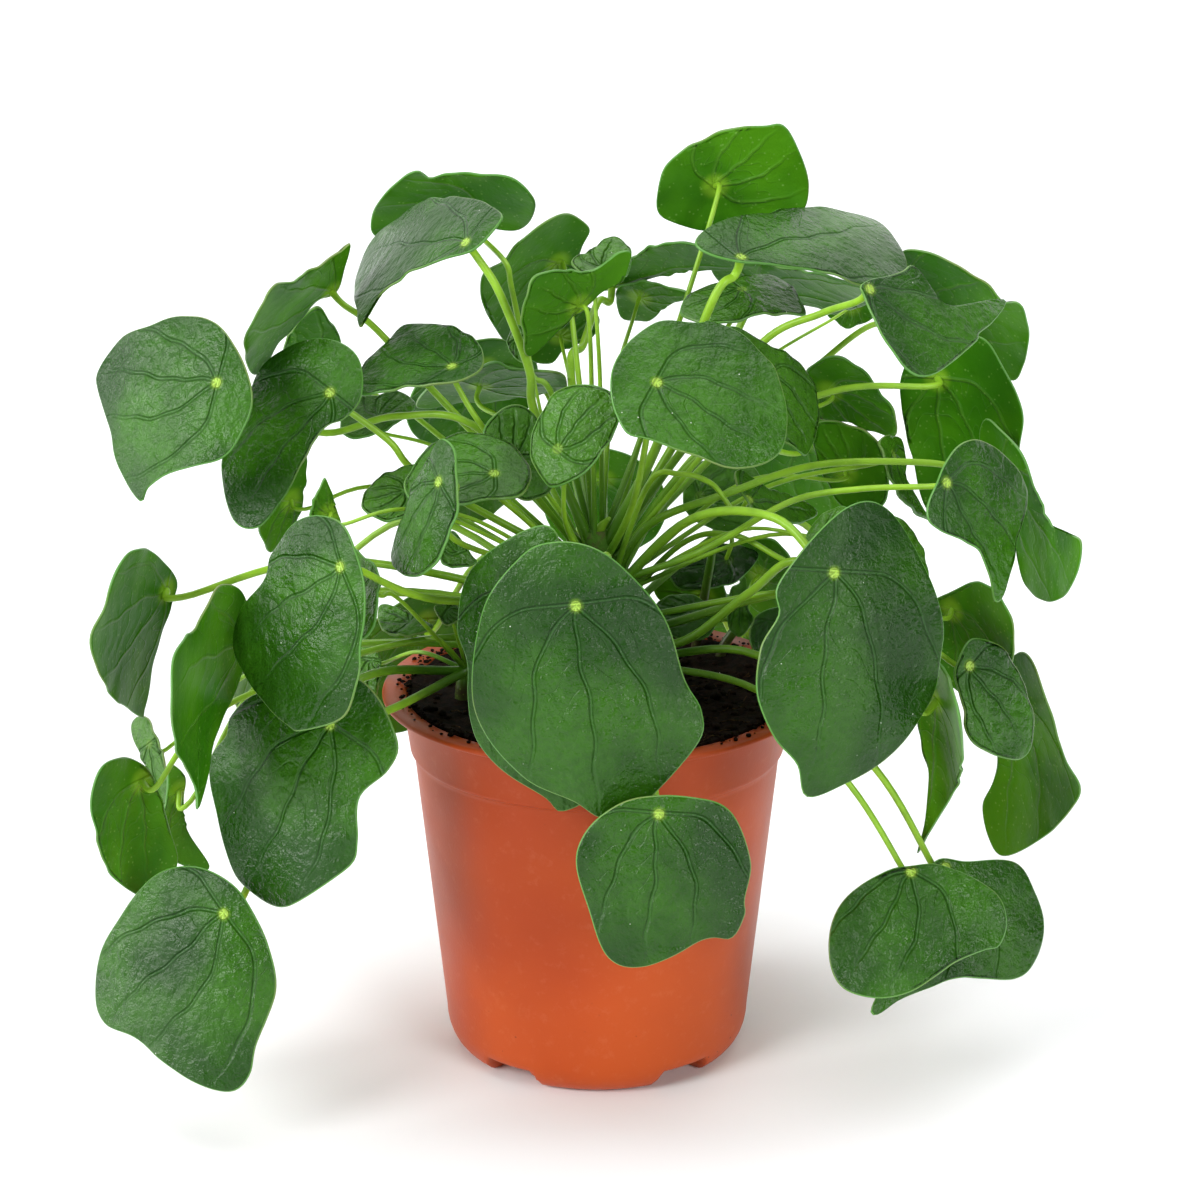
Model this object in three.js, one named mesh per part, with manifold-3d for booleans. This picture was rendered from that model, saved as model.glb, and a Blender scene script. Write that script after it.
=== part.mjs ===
// A potted pilea in a 12 cm orange nursery pot, about 28 cm across and 26 cm tall.
// Millimetres, +Z up. The origin is the middle of the pot's underside, on the table,
// and the side that the photograph shows faces -Y.
import * as THREE from "three";
import { mergeVertices } from "three/addons/utils/BufferGeometryUtils.js";
import Module from "manifold-3d";

// Pot
const LIP_RADIUS = 60;
const POT_HEIGHT = 106.5;
const LIP_THICKNESS = 1.8;
const BAND_TOP_RADIUS = 54.4;
const BAND_FOOT_RADIUS = 52.5;
const STEP_HEIGHT = 90;
const STEP_WIDTH = 1.1;
const BODY_FOOT_RADIUS = 43.3;
const BODY_FOOT_HEIGHT = 10.8;
const FOOT_RADIUS = 35.3;
const FOOT_INNER_RADIUS = 29;
const WALL = 1.5;
const FLOOR_TOP = 8;
const RECESS_TOP = 4;
const PAD_RADIUS = 14;
const PAD_SLOPE = 1;
const FOOT_SLOPE = 0.8;
const FOOT_ROUND = [4.4, 2.2];
const BODY_ROUND = [1.3, 6];
const STEP_SLOPE = 0.6;
const LIP_FILLET = [1.2, 1];
const LIP_ROUND = 0.5;
const FLOOR_ROUND = 6;
const FOOT_COUNT = 5;
const FOOT_GAP = 22;
const FOOT_GAP_HEIGHT = 6;
const DRAIN_RADIUS = 2.6;
const DRAIN_PLACE = 21.5;
const POT_SEGMENTS = 30;
const HOLE_SEGMENTS = 10;
const CUT_MARGIN = 3;

// Soil
const SOIL_TOP = 105;
const SOIL_GAP = 0.15;
const SOIL_RISE = 0.7;
const SOIL_LUMPS = [7, 6];
const SOIL_SLOPE = 0.006;
const SOIL_FLARE = 1.6;
const SOIL_INNER_RING = 0.55;
const SOIL_HOLE_DEPTH = 13;
const HOLE_GAP = 0.3;

// Trunk and the three young shoots beside it: foot, head and radii
const SHOOTS = {
  trunk: { foot: [4, 0], head: [0, 6, 150], footRadius: 6, headRadius: 3.6 },
  left: { foot: [-37, -6], head: [-36, -6, 114], footRadius: 2.8, headRadius: 2.2 },
  right: { foot: [29, 37], head: [34, 23, 146], footRadius: 1.5, headRadius: 1.1 },
  small: { foot: [36, 30], head: [43, 28, 118], footRadius: 1.6, headRadius: 1.3 },
};
const SHOOT_SIDES = 10;
// A shoot keeps its foot's thickness up to a collar this far over the soil
const COLLAR_HEIGHT = 1;
// The first corner of a stalk's or shoot's section lies about this way
const FIRST_CORNER = [0.3, 0.9, 0.1];
// The stalks of a young shoot leave it this far under its head
const HEAD_DEPTH = 1;
// Leaf stalks leave the trunk higher, the higher their leaf hangs
const LOWEST_JOINT = 112;
const LOWEST_LEAF = 60;
const JOINT_SPREAD = 0.2;
const JOINT_DEPTH = 2.2;

// Leaf stalks
const STALK_THICKEST = 1.5;
const STALK_THINNEST = 0.45;
const STALK_GROWTH = 60;
const STALK_TAPER = 0.25;
const STALK_NECK = 6;
const STALK_GAP = 0.3;
const STALK_SIDES = 5;
const YOUNG_SIDES = 4;
const LARGE_STEPS = 2;
const YOUNG_STEPS = 1;

// Blades
const BLADE_THICKNESS = 0.9;
const BLADE_RADIUS = 30;
const DROOP_ALONG = 2;
const DROOP_ACROSS = 3;
const WAVE = 0.8;
const WAVES = 3;
const WAVE_TURN = 2.4;
const FOLD_ROUND = 4;
const ONTO_BLADE_ROUNDS = 5;
const LARGE_RINGS = [0.42, 0.76, 1];
const FAR_RINGS = [0.6, 1];
const YOUNG_RINGS = [1];
const WIDE_BLADE = 52;
const WIDE_SEGMENTS = 12;
const OVAL_POINTS = 12;
const LARGE_SEGMENTS = 10;
const YOUNG_SEGMENTS = 8;

// The photograph's viewpoint, which turns a pixel of its 1200 x 1200 frame and a depth
// (y in millimetres) into a place
const FRAME_MIDDLE = 600;
const FOCAL_PIXELS = 3000;
const VIEW_DISTANCE = 832;
const VIEW_TILT = THREE.MathUtils.degToRad(18);
const VIEW_TARGET = [0.87, 0, 131.6];

// Leaves seen in the photograph. "stalk" is the pixel where the leaf stalk meets the blade
// and "depth" its y. "face" is the way the upper side looks: its bearing from +X and its
// height above level, in degrees. "fold" is how steeply the two halves fall away from the
// midrib. "via" are the places that the stalk runs through: pixel, pixel and depth. "edge"
// is the outline of the blade, read around it in pixels.
const LEAVES = [
  { from: "trunk", stalk: [576, 606], depth: -69, face: [-92, 10], fold: 0.12,
    via: [[606, 556, -32]],
    edge: [[590, 546], [625, 569], [665, 618], [685, 680], [702, 712], [697, 745], [640, 807],
      [603, 818], [575, 803], [520, 775], [474, 710], [482, 612], [520, 557], [552, 542]] },
  { from: "trunk", stalk: [545, 595], depth: -61, face: [-105, 8], fold: 0.1,
    via: [[568, 560, -30]],
    edge: [[557, 534], [563, 605], [582, 650], [605, 700], [612, 750], [600, 790], [562, 812],
      [543, 797], [488, 758], [470, 720], [466, 660], [457, 625], [470, 570], [525, 530]] },
  { from: "trunk", stalk: [834, 573], depth: -62, face: [-75, 16], fold: 0.22,
    via: [[690, 520, -18], [775, 518, -44]],
    edge: [[893, 513], [941, 605], [942, 655], [930, 705], [890, 757], [845, 785], [807, 797],
      [797, 765], [775, 738], [757, 695], [760, 650], [778, 615], [780, 580], [843, 509]] },
  { from: "trunk", stalk: [659, 814], depth: -80, face: [-88, 10], fold: 0.1,
    via: [[632, 650, -48], [652, 770, -64]],
    edge: [[695, 797], [732, 813], [751, 862], [745, 900], [745, 915], [732, 938], [705, 940],
      [645, 967], [608, 958], [587, 905], [576, 865], [582, 838], [605, 812], [640, 797]] },
  { from: "trunk", stalk: [341, 567], depth: -64, face: [-125, 18], fold: 0.12,
    via: [[440, 600, -32]],
    edge: [[335, 519], [356, 548], [365, 595], [362, 645], [357, 680], [343, 718], [300, 731],
      [285, 724], [245, 680], [231, 645], [235, 612], [264, 578], [270, 552], [300, 519]] },
  { from: "left", stalk: [330, 725], depth: -50, face: [-110, 22], fold: 0.2,
    via: [[394, 708, -40]],
    edge: [[340, 677], [372, 690], [398, 740], [388, 770], [359, 798], [358, 840], [345, 870],
      [285, 907], [247, 890], [225, 855], [208, 765], [225, 735], [230, 715], [260, 692]] },
  { from: "left", stalk: [224, 914], depth: -62, face: [-105, 22], fold: 0.15,
    via: [[362, 678, -32], [290, 760, -38], [252, 876, -41]],
    edge: [[190, 866], [237, 888], [268, 945], [276, 990], [257, 1043], [250, 1075], [230, 1092],
      [195, 1083], [160, 1060], [132, 1037], [103, 1024], [93, 997], [100, 950], [145, 883]] },
  { from: "trunk", stalk: [439, 482], depth: -52, face: [-140, 20], fold: 0.25,
    via: [[455, 540, -36]],
    edge: [[447, 440], [438, 443], [420, 470], [407, 497], [403, 515], [390, 545], [389, 560],
      [405, 576], [430, 571], [450, 535], [456, 515], [459, 495], [455, 455]] },
  { from: "trunk", stalk: [558, 449], depth: -38, face: [-110, 30], fold: 0.12,
    via: [[566, 525, -20]],
    edge: [[580, 384], [608, 390], [617, 403], [618, 425], [597, 460], [575, 480], [555, 487],
      [545, 483], [530, 455], [535, 425], [555, 393]] },
  { from: "trunk", stalk: [657, 383], depth: -38, face: [-80, 42], fold: 0.06,
    via: [[634, 500, -22]],
    edge: [[655, 323], [700, 322], [712, 320], [740, 333], [768, 358], [778, 375], [788, 420],
      [778, 455], [745, 468], [710, 462], [650, 440], [623, 430], [610, 385], [622, 350]] },
  { from: "trunk", stalk: [494, 474], depth: -32, face: [-80, 64], fold: 0.1,
    via: [[528, 522, -16]],
    edge: [[445, 437], [478, 433], [510, 444], [530, 467], [527, 490], [505, 500], [487, 500],
      [465, 504], [440, 506], [415, 503], [404, 483], [425, 450]] },
  { from: "trunk", stalk: [217, 383], depth: -30, face: [-112, 28], fold: 0.15,
    via: [[483, 432, -4], [399, 416, 2], [326, 433, 6], [262, 412, 6], [238, 400, -3]],
    edge: [[183, 315], [222, 328], [252, 385], [243, 430], [220, 460], [175, 471], [148, 487],
      [139, 501], [118, 470], [108, 430], [96, 390], [97, 370], [118, 338], [150, 325]] },
  { from: "trunk", stalk: [330, 393], depth: -12, face: [-100, 35], fold: 0.15,
    via: [[430, 482, -5], [388, 440, -6]],
    edge: [[327, 338], [358, 357], [362, 395], [345, 418], [330, 425], [315, 440], [305, 460],
      [280, 502], [257, 528], [232, 518], [221, 463], [242, 426], [256, 373], [290, 346]] },
  { from: "trunk", stalk: [243, 640], depth: -27, face: [147, 2], fold: 0.2,
    via: [[370, 592, -20]],
    edge: [[240, 590], [252, 630], [248, 660], [230, 700], [210, 750], [195, 808], [190, 783],
      [162, 745], [151, 715], [151, 690], [157, 655], [175, 633], [190, 627], [215, 588]] },
  { from: "trunk", stalk: [165, 590], depth: -18, face: [150, 10], fold: 0.15,
    via: [[340, 560, -14]],
    edge: [[150, 550], [177, 578], [170, 605], [160, 640], [150, 675], [142, 710], [140, 717],
      [120, 704], [110, 698], [92, 668], [85, 633], [102, 598], [115, 565], [130, 549]] },
  { from: "trunk", stalk: [140, 780], depth: -34, face: [140, 8], fold: 0.15,
    via: [[420, 640, -13], [250, 694, -18], [190, 738, -30]],
    edge: [[123, 757], [147, 768], [160, 795], [170, 830], [176, 858], [170, 880], [150, 893],
      [135, 894], [108, 872], [95, 835], [90, 795], [101, 765]] },
  { from: "trunk", stalk: [178, 790], depth: -17, face: [135, 15], fold: 0.2,
    via: [[300, 655, -14]],
    edge: [[170, 765], [168, 790], [163, 808], [154, 825], [160, 852], [190, 868], [209, 866],
      [190, 835], [184, 815], [183, 795], [184, 775]] },
  { from: "trunk", stalk: [331, 291], depth: 25, face: [135, 30], fold: 0.25,
    via: [[440, 398, 14], [375, 328, 18]],
    edge: [[351, 246], [340, 252], [320, 262], [288, 278], [270, 278], [260, 285], [255, 298],
      [242, 330], [240, 345], [252, 372], [280, 340], [305, 313], [320, 300], [336, 291]] },
  { from: "trunk", stalk: [325, 364], depth: 40, face: [100, 38], fold: 0,
    via: [[430, 428, 22], [377, 396, 34]],
    edge: [[317, 307], [330, 320], [341, 340], [338, 362], [320, 378], [295, 372], [283, 350],
      [295, 325]] },
  { from: "trunk", stalk: [466, 243], depth: -5, face: [-135, 48], fold: 0.15,
    via: [[536, 417, 2], [529, 369, 1], [500, 294, -3]],
    edge: [[430, 196], [475, 199], [490, 205], [503, 220], [475, 249], [440, 260], [400, 277],
      [364, 306], [358, 325], [352, 305], [348, 275], [355, 250], [372, 228], [400, 208]] },
  { from: "trunk", stalk: [478, 213], depth: 58, face: [80, 40], fold: 0.1,
    via: [[553, 398, 20], [531, 372, 24], [512, 290, 28], [505, 262, 29]],
    edge: [[371, 228], [380, 198], [414, 170], [430, 176], [462, 172], [480, 173], [515, 180],
      [535, 198], [532, 218], [521, 229], [500, 228], [460, 225], [420, 232], [390, 240]] },
  { from: "trunk", stalk: [452, 367], depth: -8, face: [-112, 64], fold: 0.1,
    via: [[492, 440, -6]],
    edge: [[352, 385], [365, 362], [378, 348], [400, 327], [415, 322], [430, 322], [460, 329],
      [481, 347], [482, 367], [465, 381], [430, 385], [390, 390], [362, 395]] },
  { from: "trunk", stalk: [557, 261], depth: 52, face: [120, 32], fold: 0.15,
    via: [[580, 390, 14]],
    edge: [[568, 214], [589, 227], [582, 247], [574, 272], [555, 303], [530, 332], [507, 340],
      [495, 328], [481, 300], [483, 272], [505, 257], [520, 240], [550, 217]] },
  { from: "trunk", stalk: [578, 305], depth: 0, face: [120, 22], fold: 0.04,
    via: [[592, 400, 2]],
    edge: [[592, 270], [550, 270], [530, 282], [521, 315], [522, 330], [529, 357], [560, 329],
      [586, 307], [608, 288], [622, 279], [632, 255], [620, 252]] },
  { from: "trunk", stalk: [600, 268], depth: 8, face: [-60, 60], fold: 0,
    via: [[600, 380, 6]],
    edge: [[571, 262], [590, 250], [614, 236], [631, 252], [628, 274], [618, 278], [600, 278],
      [585, 275]] },
  { from: "trunk", stalk: [612, 284], depth: 64, face: [80, 48], fold: 0,
    via: [[571, 374, 32], [583, 345, 42], [598, 302, 56]],
    edge: [[600, 288], [632, 258], [650, 246], [675, 242], [700, 243], [730, 250], [757, 262],
      [735, 267], [700, 269], [665, 275], [620, 287]] },
  { from: "trunk", stalk: [405, 492], depth: -18, face: [-100, 55], fold: 0,
    via: [[480, 522, -8]],
    edge: [[361, 503], [378, 478], [412, 465], [430, 472], [428, 500], [405, 517], [390, 521],
      [372, 517]] },
  { from: "trunk", stalk: [515, 455], depth: -16, face: [-70, 30], fold: 0,
    via: [[556, 505, -6]],
    edge: [[484, 428], [500, 410], [514, 404], [528, 409], [538, 422], [538, 445], [545, 470],
      [552, 488], [540, 498], [520, 500], [498, 480], [485, 452]] },
  { from: "trunk", stalk: [480, 385], depth: 44, face: [90, 58], fold: 0,
    via: [[525, 440, 26]],
    edge: [[416, 403], [430, 387], [460, 375], [495, 363], [510, 367], [528, 369], [560, 372],
      [565, 388], [530, 396], [490, 401], [450, 404], [425, 407]] },
  { from: "trunk", stalk: [715, 185], depth: 38, face: [95, 20], fold: 0.1,
    via: [[640, 440, 16], [686, 300, 24]],
    edge: [[662, 172], [685, 148], [700, 140], [735, 127], [765, 125], [783, 125], [797, 145],
      [809, 183], [800, 212], [760, 222], [730, 228], [704, 230], [675, 223], [657, 210]] },
  { from: "trunk", stalk: [741, 258], depth: -8, face: [-60, 60], fold: 0.05,
    via: [[655, 450, -2], [712, 302, -8]],
    edge: [[695, 242], [728, 219], [765, 212], [795, 205], [820, 204], [868, 208], [890, 222],
      [909, 262], [905, 280], [880, 286], [850, 281], [820, 271], [775, 266], [735, 262]] },
  { from: "trunk", stalk: [758, 282], depth: 57, face: [60, 48], fold: 0,
    via: [[700, 400, 22], [738, 330, 38]],
    edge: [[712, 266], [740, 262], [780, 266], [820, 272], [850, 280], [885, 286], [890, 296],
      [850, 309], [830, 312], [815, 307], [770, 303], [745, 298], [722, 284]] },
  { from: "trunk", stalk: [742, 290], depth: 16, face: [-70, 72], fold: 0.08,
    via: [[680, 400, 12]],
    edge: [[680, 312], [692, 292], [715, 284], [735, 279], [770, 275], [792, 287], [806, 314],
      [780, 314], [760, 315], [725, 324], [700, 322]] },
  { from: "trunk", stalk: [869, 290], depth: -20, face: [-55, 40], fold: 0,
    via: [[690, 440, 4], [762, 343, 0], [820, 314, -4]],
    edge: [[862, 284], [900, 272], [912, 266], [932, 287], [949, 305], [1001, 298], [1006, 304],
      [992, 323], [980, 333], [975, 343], [933, 375], [906, 368], [886, 343], [864, 297]] },
  { from: "trunk", stalk: [925, 316], depth: 52, face: [62, 28], fold: 0.15,
    via: [[740, 430, 26], [812, 370, 36], [872, 325, 42]],
    edge: [[903, 250], [940, 256], [980, 276], [1005, 299], [1018, 299], [1026, 308], [1030, 338],
      [1024, 365], [1012, 380], [980, 358], [950, 342], [925, 334], [908, 318], [900, 285]] },
  { from: "trunk", stalk: [938, 378], depth: 20, face: [62, 10], fold: 0.1,
    via: [[700, 455, 2], [830, 392, 10]],
    edge: [[905, 365], [915, 350], [940, 338], [978, 336], [1000, 360], [1022, 405], [1022, 440],
      [1015, 465], [1000, 490], [975, 510], [945, 515], [925, 505], [908, 440], [900, 395]] },
  { from: "trunk", stalk: [946, 483], depth: -40, face: [-60, 22], fold: 0.15,
    via: [[680, 560, -14], [719, 542, -18], [792, 501, -26], [860, 489, -30]],
    edge: [[985, 441], [1008, 457], [1028, 484], [1029, 500], [1020, 535], [1013, 565],
      [1005, 595], [996, 601], [990, 575], [975, 548], [938, 530], [927, 512], [942, 468],
      [962, 443]] },
  { from: "trunk", stalk: [1000, 470], depth: 0, face: [38, 8], fold: 0.2,
    via: [[648, 526, -4], [726, 494, -8], [817, 465, -10], [930, 463, -8]],
    edge: [[987, 418], [1000, 428], [1020, 452], [1040, 495], [1058, 530], [1086, 540],
      [1078, 583], [1055, 600], [1028, 588], [1020, 560], [1012, 535], [995, 500], [985, 465],
      [980, 435]] },
  { from: "trunk", stalk: [768, 375], depth: -14, face: [-45, 30], fold: 0.1,
    via: [[690, 470, -6]],
    edge: [[728, 327], [762, 341], [795, 358], [808, 373], [817, 393], [820, 415], [810, 452],
      [800, 453], [788, 445], [765, 430], [748, 400], [735, 360]] },
  { from: "trunk", stalk: [830, 390], depth: 24, face: [65, 30], fold: 0,
    via: [[720, 440, 18]],
    edge: [[808, 368], [833, 356], [857, 364], [868, 375], [888, 402], [896, 415], [895, 436],
      [870, 431], [855, 424], [815, 415], [803, 390]] },
  { from: "trunk", stalk: [846, 471], depth: 20, face: [62, 12], fold: 0.1,
    via: [[740, 484, 16]],
    edge: [[820, 421], [850, 424], [877, 440], [888, 470], [889, 490], [880, 508], [850, 512],
      [828, 485], [814, 450], [816, 435]] },
  { from: "trunk", stalk: [953, 609], depth: -6, face: [48, 12], fold: 0.12,
    via: [[680, 545, -6], [733, 535, -12], [790, 563, -20], [870, 594, -18]],
    edge: [[930, 605], [950, 592], [972, 582], [985, 583], [1003, 597], [1016, 635], [1010, 670],
      [990, 690], [960, 692], [935, 670], [925, 640]] },
  { from: "trunk", stalk: [969, 666], depth: -33, face: [-65, 18], fold: 0.15,
    via: [[830, 592, -20]],
    edge: [[977, 638], [1003, 648], [1022, 678], [1034, 715], [1031, 750], [1012, 760], [972, 743],
      [963, 710], [955, 676], [957, 660], [965, 645]] },
  { from: "trunk", stalk: [938, 700], depth: -34, face: [22, 12], fold: 0.2,
    via: [[678, 643, -10], [749, 593, -18], [800, 561, -24], [880, 610, -32]],
    edge: [[940, 663], [948, 675], [960, 688], [971, 720], [967, 755], [962, 775], [947, 805],
      [928, 835], [918, 853], [926, 820], [928, 780], [925, 755], [917, 720], [922, 680]] },
  { from: "trunk", stalk: [1012, 700], depth: 10, face: [38, 10], fold: 0.15,
    via: [[850, 590, 8]],
    edge: [[1020, 652], [1037, 667], [1052, 710], [1063, 750], [1082, 785], [1068, 815],
      [1040, 840], [1005, 856], [988, 838], [984, 805], [995, 778], [998, 730], [998, 700],
      [1003, 670]] },
  { from: "trunk", stalk: [911, 872], depth: -44, face: [-88, 38], fold: 0.06,
    via: [[757, 690, -28], [850, 785, -40]],
    edge: [[905, 866], [945, 866], [993, 890], [1007, 920], [1000, 945], [985, 950], [955, 963],
      [915, 990], [880, 998], [845, 990], [830, 963], [831, 925], [848, 895], [880, 874]] },
  { from: "trunk", stalk: [945, 868], depth: -30, face: [-70, 30], fold: 0.1,
    via: [[757, 655, -14], [875, 768, -28]],
    edge: [[935, 861], [965, 861], [1015, 862], [1035, 890], [1044, 920], [1038, 958], [1015, 979],
      [960, 978], [930, 988], [900, 1000], [877, 1015], [872, 1005], [900, 950], [915, 900]] },
];

// Leaves on the far side, out of the photograph's sight: the stalk's place, the way that
// the blade faces and points, its length and width, and how far its middle is from the
// stalk. All in millimetres and degrees.
const FAR_LEAVES = [
  { at: [-8, 78, 112], face: [92, 18], tip: 5, length: 60, width: 52, inset: 16, via: [[-4, 50, 140]] },
  { at: [44, 72, 100], face: [62, 22], tip: -10, length: 53, width: 46, inset: 14, via: [[26, 46, 128]] },
  { at: [-52, 66, 104], face: [122, 20], tip: 10, length: 50, width: 46, inset: 14, via: [[-30, 42, 132]] },
  { at: [84, 58, 122], face: [35, 18], tip: -5, length: 55, width: 45, inset: 14, via: [[48, 38, 146]] },
  { at: [-92, 50, 118], face: [150, 18], tip: 5, length: 52, width: 45, inset: 14, via: [[-50, 32, 146]] },
  { at: [32, 74, 186], face: [75, 48], tip: 10, length: 43, width: 37, inset: 9, via: [[16, 38, 178]] },
  { at: [-38, 68, 152], face: [115, 35], tip: -10, length: 38, width: 33, inset: 9, via: [[-20, 36, 160]] },
  { at: [2, 96, 140], face: [85, 30], tip: 0, length: 45, width: 39, inset: 10, via: [[2, 56, 160]] },
  { at: [-34, 86, 178], face: [112, 36], tip: 8, length: 48, width: 41, inset: 12, via: [[-14, 48, 178]] },
  { at: [62, 80, 156], face: [58, 30], tip: -8, length: 50, width: 43, inset: 13, via: [[30, 46, 162]] },
];

// Small young leaves, which are one body with the stems that carry them
const YOUNG_LEAVES = [
  { from: "trunk", stalk: [518, 340], depth: 10, face: [-120, 35],
    via: [[548, 440, 4]],
    edge: [[515, 325], [507, 340], [510, 352], [518, 361], [525, 361], [528, 345], [524, 328]] },
  { from: "trunk", stalk: [560, 335], depth: 68, face: [100, 30],
    via: [[580, 430, 28]],
    edge: [[528, 357], [550, 363], [565, 350], [590, 338], [600, 320], [585, 305], [555, 310],
      [532, 330]] },
  { from: "trunk", stalk: [640, 296], depth: 62, face: [70, 42],
    via: [[612, 400, 34]],
    edge: [[620, 286], [650, 281], [670, 288], [690, 294], [665, 308], [650, 320], [632, 321],
      [620, 314], [616, 300]] },
  { from: "trunk", stalk: [378, 416], depth: 16, face: [-90, 60],
    via: [[460, 460, 12]],
    edge: [[340, 430], [345, 405], [362, 397], [385, 394], [400, 391], [416, 407], [390, 428],
      [370, 436], [350, 438]] },
  { from: "trunk", stalk: [850, 303], depth: 72, face: [60, 20],
    via: [[730, 390, 40]],
    edge: [[828, 312], [835, 320], [842, 327], [850, 328], [875, 317], [873, 300], [860, 290],
      [840, 292]] },
  { from: "trunk", stalk: [893, 455], depth: 4, face: [-20, 30],
    via: [[760, 490, 8]],
    edge: [[880, 440], [898, 438], [906, 462], [905, 478], [915, 500], [928, 520], [915, 512],
      [900, 497], [889, 475]] },
  { from: "trunk", stalk: [748, 500], depth: -8, face: [-40, 45],
    via: [[648, 485, -12], [680, 474, -16], [712, 484, -14]],
    edge: [[738, 470], [762, 486], [780, 492], [810, 504], [818, 514], [796, 524], [762, 518],
      [750, 508], [736, 482]] },
  { from: "right", stalk: [700, 496], depth: 26, face: [-80, 30],
    via: [],
    edge: [[683, 490], [690, 470], [705, 460], [740, 458], [760, 475], [764, 497], [750, 520],
      [725, 533], [688, 515]] },
  { from: "right", stalk: [728, 561], depth: 42, face: [-70, 40],
    via: [[732, 540, 34]],
    edge: [[669, 571], [700, 551], [722, 543], [745, 547], [759, 556], [742, 578], [725, 586],
      [684, 590]] },
  { from: "trunk", stalk: [150, 745], depth: 0, face: [-140, 25],
    via: [[300, 650, -8]],
    edge: [[140, 716], [132, 727], [142, 760], [157, 785], [163, 805], [168, 800], [165, 760],
      [150, 722]] },
  { from: "trunk", stalk: [330, 512], depth: -34, face: [120, 20],
    via: [[430, 512, -27]],
    edge: [[325, 478], [331, 490], [337, 510], [340, 525], [325, 530], [310, 522], [313, 500],
      [319, 488]] },
  { from: "trunk", stalk: [290, 500], depth: 6, face: [140, 15],
    via: [[400, 490, 0]],
    edge: [[305, 455], [306, 475], [302, 505], [297, 522], [285, 535], [270, 553], [258, 525],
      [265, 500], [280, 470]] },
  { from: "trunk", stalk: [895, 550], depth: -40, face: [-50, 35],
    via: [[770, 535, -20]],
    edge: [[880, 510], [905, 523], [920, 543], [929, 580], [915, 595], [890, 590], [870, 560],
      [868, 530]] },
  { from: "trunk", stalk: [830, 540], depth: -35, face: [-120, 35],
    via: [[740, 530, -16]],
    edge: [[843, 506], [825, 513], [812, 525], [806, 541], [810, 560], [835, 570], [860, 550],
      [862, 520]] },
  { from: "left", stalk: [362, 590], depth: -38, face: [-150, 25],
    via: [[400, 600, -30]],
    edge: [[352, 550], [362, 555], [375, 565], [380, 580], [376, 615], [365, 640], [348, 625],
      [342, 590]] },
  { from: "left", stalk: [410, 622], depth: -12, face: [-120, 60],
    via: [[440, 640, -16]],
    edge: [[378, 607], [395, 607], [410, 613], [425, 620], [434, 628], [420, 634], [400, 636],
      [382, 630]] },
  { from: "left", stalk: [372, 660], depth: 8, face: [-120, 25],
    via: [[420, 652, 2]],
    edge: [[350, 652], [372, 646], [381, 662], [378, 690], [374, 702], [366, 704], [357, 690],
      [351, 672]] },
  { from: "left", stalk: [447, 612], depth: -22, face: [-100, 35],
    via: [[458, 640, -12]],
    edge: [[434, 607], [447, 604], [460, 607], [459, 620], [447, 626], [440, 620]] },
  { from: "trunk", stalk: [460, 552], depth: -18, face: [-100, 35],
    via: [[500, 570, -8]],
    edge: [[452, 530], [462, 540], [472, 555], [477, 563], [460, 568], [445, 566], [440, 558],
      [445, 540]] },
  { from: "small", stalk: [740, 600], depth: 14, face: [-80, 30],
    via: [],
    edge: [[745, 577], [739, 583], [730, 590], [727, 620], [733, 633], [741, 637], [753, 621],
      [748, 606]] },
  { from: "small", stalk: [768, 622], depth: 6, face: [-70, 30],
    via: [],
    edge: [[781, 607], [758, 614], [751, 626], [749, 640], [753, 650], [765, 656], [785, 650],
      [790, 625]] },
  { from: "small", stalk: [690, 612], depth: 20, face: [-95, 45],
    via: [],
    edge: [[656, 604], [680, 594], [698, 597], [711, 607], [716, 620], [712, 633], [698, 640],
      [668, 634]] },
  { from: "small", stalk: [760, 574], depth: 50, face: [60, 20],
    via: [],
    edge: [[735, 545], [752, 538], [775, 541], [790, 556], [792, 580], [784, 602], [768, 614],
      [752, 606], [742, 588]] },
  { from: "small", stalk: [704, 594], depth: 42, face: [70, 25],
    via: [],
    edge: [[653, 588], [665, 577], [684, 573], [704, 573], [720, 580], [727, 594], [722, 608],
      [705, 614], [667, 606]] },
];

const wasm = await Module();
wasm.setup();

// The viewpoint's own directions
const viewForward = new THREE.Vector3(0, Math.cos(VIEW_TILT), -Math.sin(VIEW_TILT));
const viewUp = new THREE.Vector3(0, Math.sin(VIEW_TILT), Math.cos(VIEW_TILT));
const eye = new THREE.Vector3(...VIEW_TARGET).addScaledVector(viewForward, -VIEW_DISTANCE);

// The direction in which the viewpoint sees a pixel
function sightLine(pixel) {
  const across = (pixel[0] - FRAME_MIDDLE) / FOCAL_PIXELS;
  const down = (pixel[1] - FRAME_MIDDLE) / FOCAL_PIXELS;
  const line = viewForward.clone().addScaledVector(viewUp, -down);
  line.x += across;
  return line;
}

// The place at a pixel and a depth
function placeAt(pixel, depth) {
  const line = sightLine(pixel);
  return eye.clone().addScaledVector(line, (depth - eye.y) / line.y);
}

// Normal of a blade's upper side, its downhill direction and the direction to its side
function bladeAxes(face) {
  const bearing = THREE.MathUtils.degToRad(face[0]);
  const height = THREE.MathUtils.degToRad(face[1]);
  const outward = new THREE.Vector3(Math.cos(bearing), Math.sin(bearing), 0);
  const normal = outward.clone().multiplyScalar(Math.cos(height));
  normal.z = Math.sin(height);
  const downhill = outward.clone().multiplyScalar(Math.sin(height));
  downhill.z = -Math.cos(height);
  return { normal, downhill, side: new THREE.Vector3().crossVectors(normal, downhill) };
}

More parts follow.
